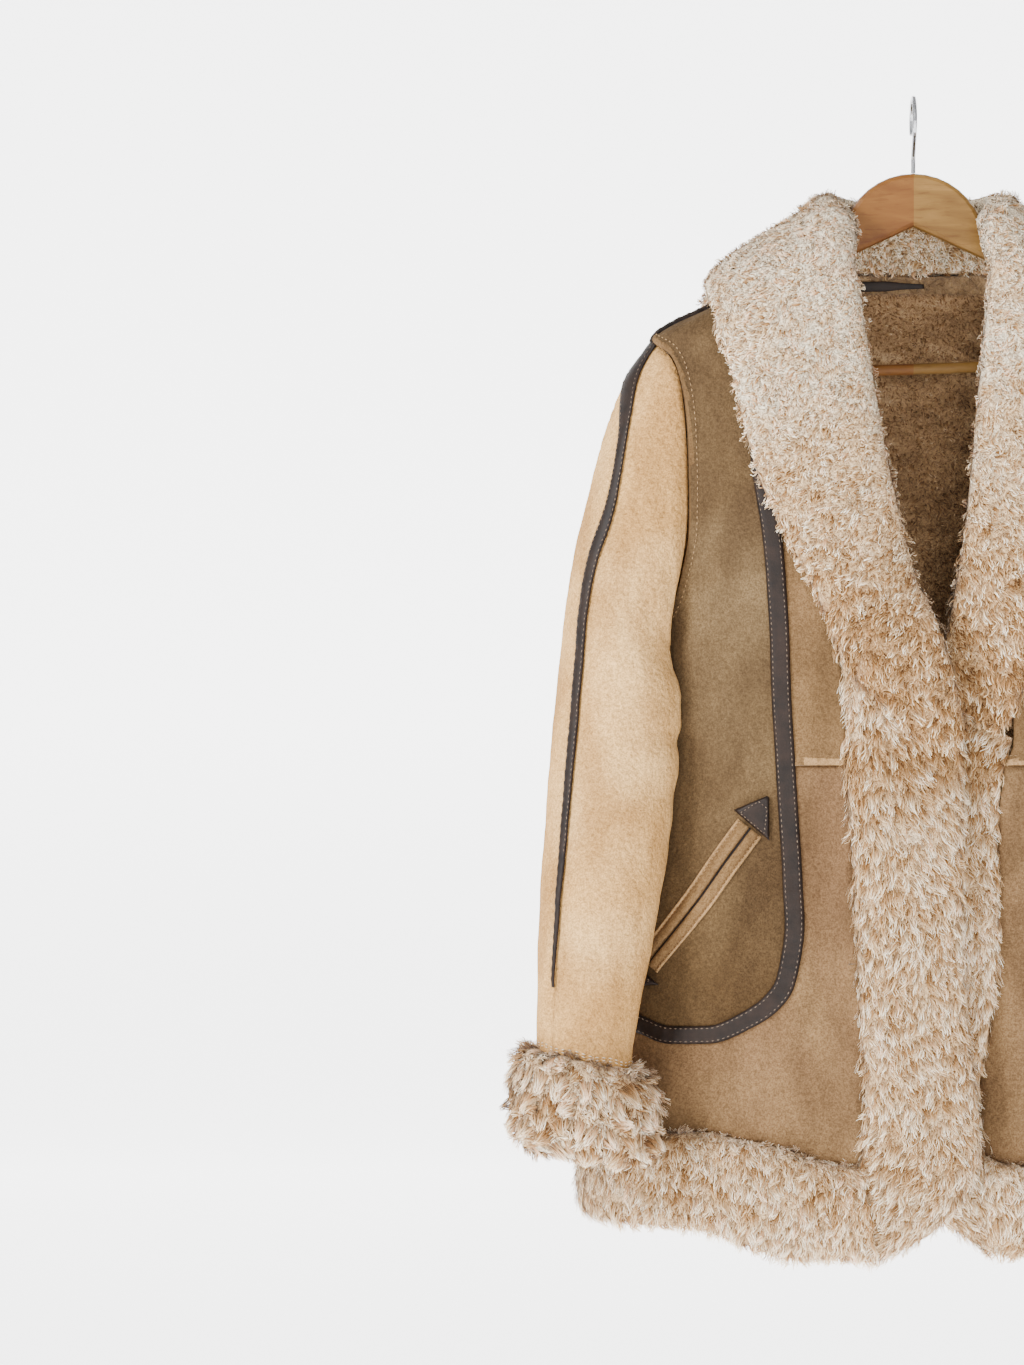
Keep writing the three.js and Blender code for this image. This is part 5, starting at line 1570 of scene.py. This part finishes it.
for name, side in SIDES.items():
    places = along(placed(SLIT), np.linspace(0, 1, POCKET_STEPS))
    for welt, edge, inner in (("upper", -12.8, -0.8), ("lower", 11.4, 0.8)):
        asides = edge + (inner - edge) * WELT_ACROSS / WELT_ACROSS[-1]
        sheet_at, out = ribbon(side, places, asides)
        points = sheet_at + out * (WELT_LIFT[None] + 0.3 * waves(sheet_at, 30, 7))[..., None]
        mesh = grid_mesh(f"{name}_pocket_welt_{welt}", points, out)
        cells = (POCKET_STEPS - 1, len(asides) - 1)
        piped = np.broadcast_to(np.arange(cells[1]) < PIPED_COLUMNS, cells)
        mesh.polygons.foreach_set("material_index", piped.astype(np.int32).ravel())
        piece = add_piece(f"{name}_pocket_welt_{welt}", mesh, [welt_suede, piping_suede])
        wall = piece.modifiers.new("suede", "SOLIDIFY")
        wall.thickness, wall.offset = WELT_WALL, -1
        wide, long, area = cut_size(points)
        stitch("tan_thread", points[:, 5] + out[:, 5] * 0.1, out[:, 5], step=3.6, long=2.3, wide=0.8)
    # a dark strip in the slit: painted shade where the slit opens
    sheet_at, out = ribbon(side, places, (-1.6, -0.5, 0.5, 1.6), 0.9)
    mesh = grid_mesh(f"{name}_pocket_slit_shade", sheet_at, out)
    piece = add_piece(f"{name}_pocket_slit_shade", mesh, [dark_leather], replaces=False)
    piece.modifiers.new("slit", "SOLIDIFY").thickness = SLIT_SHADE_WALL

    for tab, (one, other, tip) in TABS.items():
        rise, share = np.meshgrid(
            np.linspace(0, TAB_BLUNT, 15), np.linspace(0, 1, 15), indexing="ij")
        base = mix(np.array(one), np.array(other), share[..., None])
        cells = placed(mix(base, np.array(tip), rise[..., None]))
        at, out = body(side, cells[..., 0], cells[..., 1], RISE)
        at = at + out * cloth(at, out)[..., None]
        ends = np.minimum(rise * 22, (TAB_BLUNT - rise) * 26)
        rim = np.minimum(ends, np.minimum(share, 1 - share) * 30 * (1 - rise))
        tall = 1.4 + 2.3 * smooth(0, 1.4, rim) - 0.6 * bump((rim - 3.2) / 0.9)
        tall = tall + 0.25 * waves(at, 16, 4)
        if tab == "bottom":
            tall = tall + 3.0 * bump((rise - 0.25) / 0.2) + 1.5 * bump((share - 0.6) / 0.2)
        points = at + out * tall[..., None]
        leather_piece(f"{name}_pocket_tab_{tab}", points, out)
        loop = [(1, c) for c in range(2, 13)] + [(r, 12) for r in range(2, 11)]
        loop += [(r, 2) for r in range(10, 0, -1)]
        picked = tuple(np.array(loop).T)
        stitch("dark_thread", points[picked] + out[picked] * 0.15, out[picked], step=3.4, long=2.2)

# %% [markdown]
# Rows of topstitching hold the felled armholes and the waist seam, and coarse pale stitches join
# each cuff to its sleeve. A narrow leather tape is sewn inside the back neck.

# %% Seam stitching
for name, side in SIDES.items():
    for facing in (1, -1):
        loop = along(ARMHOLE, np.linspace(0.03, 0.93, 150)) * [facing, 1]
        at, out = body(side, loop[:, 0], loop[:, 1])
        at = at + out * cloth(at, out)[:, None]
        way = unit(np.gradient(at, axis=0))
        inward = np.cross(way, out)
        inward = inward * np.sign(-side * inward[:, :1])
        stitch("tan_thread", at + inward * 9.2 + out * 0.3, out, step=4.6)
    edge = front_edge(FRONTS[name])
    turns = np.linspace(PRINCESS[WAIST_AT, 0] + 0.03, edge[WAIST_AT, 0], 30)
    at, out = body(side, turns, WAIST_Z + 7.6, 0.3)
    stitch("tan_thread", at + out * cloth(at, out)[:, None], out, step=4.0)
    for off in (1.0, 3.4):
        angles = np.linspace(0, 360, 120)
        wavy = CUFF_AT - 2.0 - off + 0.8 * np.sin(angles / 7.0)
        at, out = sleeve_cloth(side, wavy, angles, 0.4)
        stitch("pale_thread", at, out, step=5.6, long=3.8, wide=1.1)

turn, height = np.meshgrid(np.linspace(-0.78, -1.03, 40), np.linspace(-140, -148, 9), indexing="ij")
taper = 1 - 0.55 * smooth(0.6, 1.0, np.linspace(0, 1, 40))[:, None]
height = -144 + (height + 144) * taper
at, out = body(RIGHT, turn, height, -10.6)
tape_lift = 0.9 * bump((height + 144) / 4) + 0.3 * waves(at, 14, 3)
leather_piece("neck_tape", at - out * tape_lift[..., None], -out, thick=1.2)

for kind, rows in stitch_rows.items():
    verts = np.concatenate(rows)
    beads = len(verts) // len(BEAD)
    faces = (BEAD_FACES[None] + np.arange(beads)[:, None, None] * len(BEAD)).reshape(-1, 3)
    mesh = bpy.data.meshes.new(kind)
    mesh.from_pydata((verts * MM).tolist(), [], faces.tolist())
    slot = "leather" if kind == "dark_thread" else "suede"
    add_piece(f"stitches_{kind}", mesh, [threads[kind]], replaces=False)
    print(kind, "stitches", beads)

# %% [markdown]
# The hanger's shoulders are two pieces of beech joined at the middle, satin varnished. The grain
# runs along the wood, so the noise is stretched along X, and the two halves differ a little. The
# wire is bright steel with faint lengthwise scratches.

# %% Wood and wire
wood = Finish("beech", roughness=0.5)
wood.shader.inputs["Specular IOR Level"].default_value = 0.2
grain = wood.noise(1.0, 6.0, 0.6, places=wood.stretched((14, 90, 90)), warp=0.8)
flecks = wood.noise(1.0, 3.0, 0.5, places=wood.stretched((60, 420, 420)))
tone = wood.ramp(grain, [(0.3, "#5d3513"), (0.52, "#6d441b"), (0.75, "#7c5223")])
other = wood.ramp(grain, [(0.3, "#61421b"), (0.52, "#755527"), (0.75, "#866433")])
parts = wood.add("SeparateXYZ", vector=wood.places)
half = wood.add("Math")
half.operation = "GREATER_THAN"
half.inputs[1].default_value = 0.0
wood.link(parts.outputs["X"], half.inputs[0])
both = wood.blend(half.outputs[0], tone, other)
dots = wood.ramp(flecks, [(0.34, "#9c6a3a"), (0.44, "#ffffff")])
wood.colour(wood.blend(0.3, both, dots, "MULTIPLY"))
wood.relief(flecks, 0.08, 0.0003)
steel = Finish("bright_wire", roughness=0.24, metallic=1.0)
steel.colour(steel.ramp(steel.noise(1.0, 3.0, places=steel.stretched((900, 900, 60))),
                        [(0.3, "#9a9a9c"), (0.7, "#d2d3d6")]))
for node, material in (("hanger_wood", wood.material), ("hanger_bar", wood.material),
                       ("hanger_hook", steel.material)):
    cad = frame["nodes"][node]
    for slot in cad.material_slots:
        slot.material = material
    print(node, len(cad.data.polygons))

# %% [markdown]
# The studio is a pale sweep below and behind the coat, lit by a bright sky and two large soft
# lamps, one from the upper left so that folds and wool get shape.

# %% Studio
FLOOR_Z, WALL_Y, FLOOR_HALF, WALL_TALL, BEND = -1.45, 7.5, 10, 6, 0.9
bm = bmesh.new()
bmesh.ops.create_grid(bm, x_segments=1, y_segments=1, size=FLOOR_HALF)
bmesh.ops.translate(bm, verts=bm.verts, vec=(0, WALL_Y - FLOOR_HALF, FLOOR_Z))
far = [e for e in bm.edges if all(v.co.y > WALL_Y - 0.01 for v in e.verts)]
raised = bmesh.ops.extrude_edge_only(bm, edges=far)["geom"]
upper = [g for g in raised if isinstance(g, bmesh.types.BMVert)]
bmesh.ops.translate(bm, verts=upper, vec=(0, 0, WALL_TALL))
bmesh.ops.bevel(bm, geom=far, offset=BEND, segments=12, profile=0.5, affect="EDGES", material=-1)
mesh = bpy.data.meshes.new("sweep")
bm.to_mesh(mesh)
bm.free()
mesh.shade_smooth()
sweep_finish = Finish("sweep", roughness=1.0)
sweep_finish.shader.inputs["Emission Color"].default_value = (1, 1, 1, 1)
sweep_finish.shader.inputs["Emission Strength"].default_value = 3.0
white = sweep_finish.ramp(sweep_finish.noise(2, 1.0), [(0.2, "#fbfbfb"), (0.8, "#ffffff")])
sweep_finish.colour(white)
mesh.materials.append(sweep_finish.material)
sweep = bpy.data.objects.new("sweep", mesh)
scene_objects.link(sweep)

world = bpy.data.worlds.new("studio")
world.use_nodes = True
world.node_tree.nodes["Background"].inputs["Color"].default_value = (1, 1, 1, 1)
world.node_tree.nodes["Background"].inputs["Strength"].default_value = 0.7
bpy.context.scene.world = world


def lamp(name, at, aim, size, power_w):
    data = bpy.data.lights.new(name, "AREA")
    data.size = size
    data.energy = power_w
    made = bpy.data.objects.new(name, data)
    made.location = at
    way = np.subtract(aim, at)
    made.rotation_euler = (math.acos(-way[2] / np.linalg.norm(way)), 0,
                           math.atan2(way[0], -way[1]) + math.pi)
    scene_objects.link(made)
    return made


lamp("key", (-2.4, -1.7, 1.0), (-0.15, 0, -0.5), 0.8, 170)
lamp("front", (0.15, -3.4, -0.1), (0, 0, -0.45), 0.8, 46)
print("floor at", FLOOR_Z, "wall at", WALL_Y)
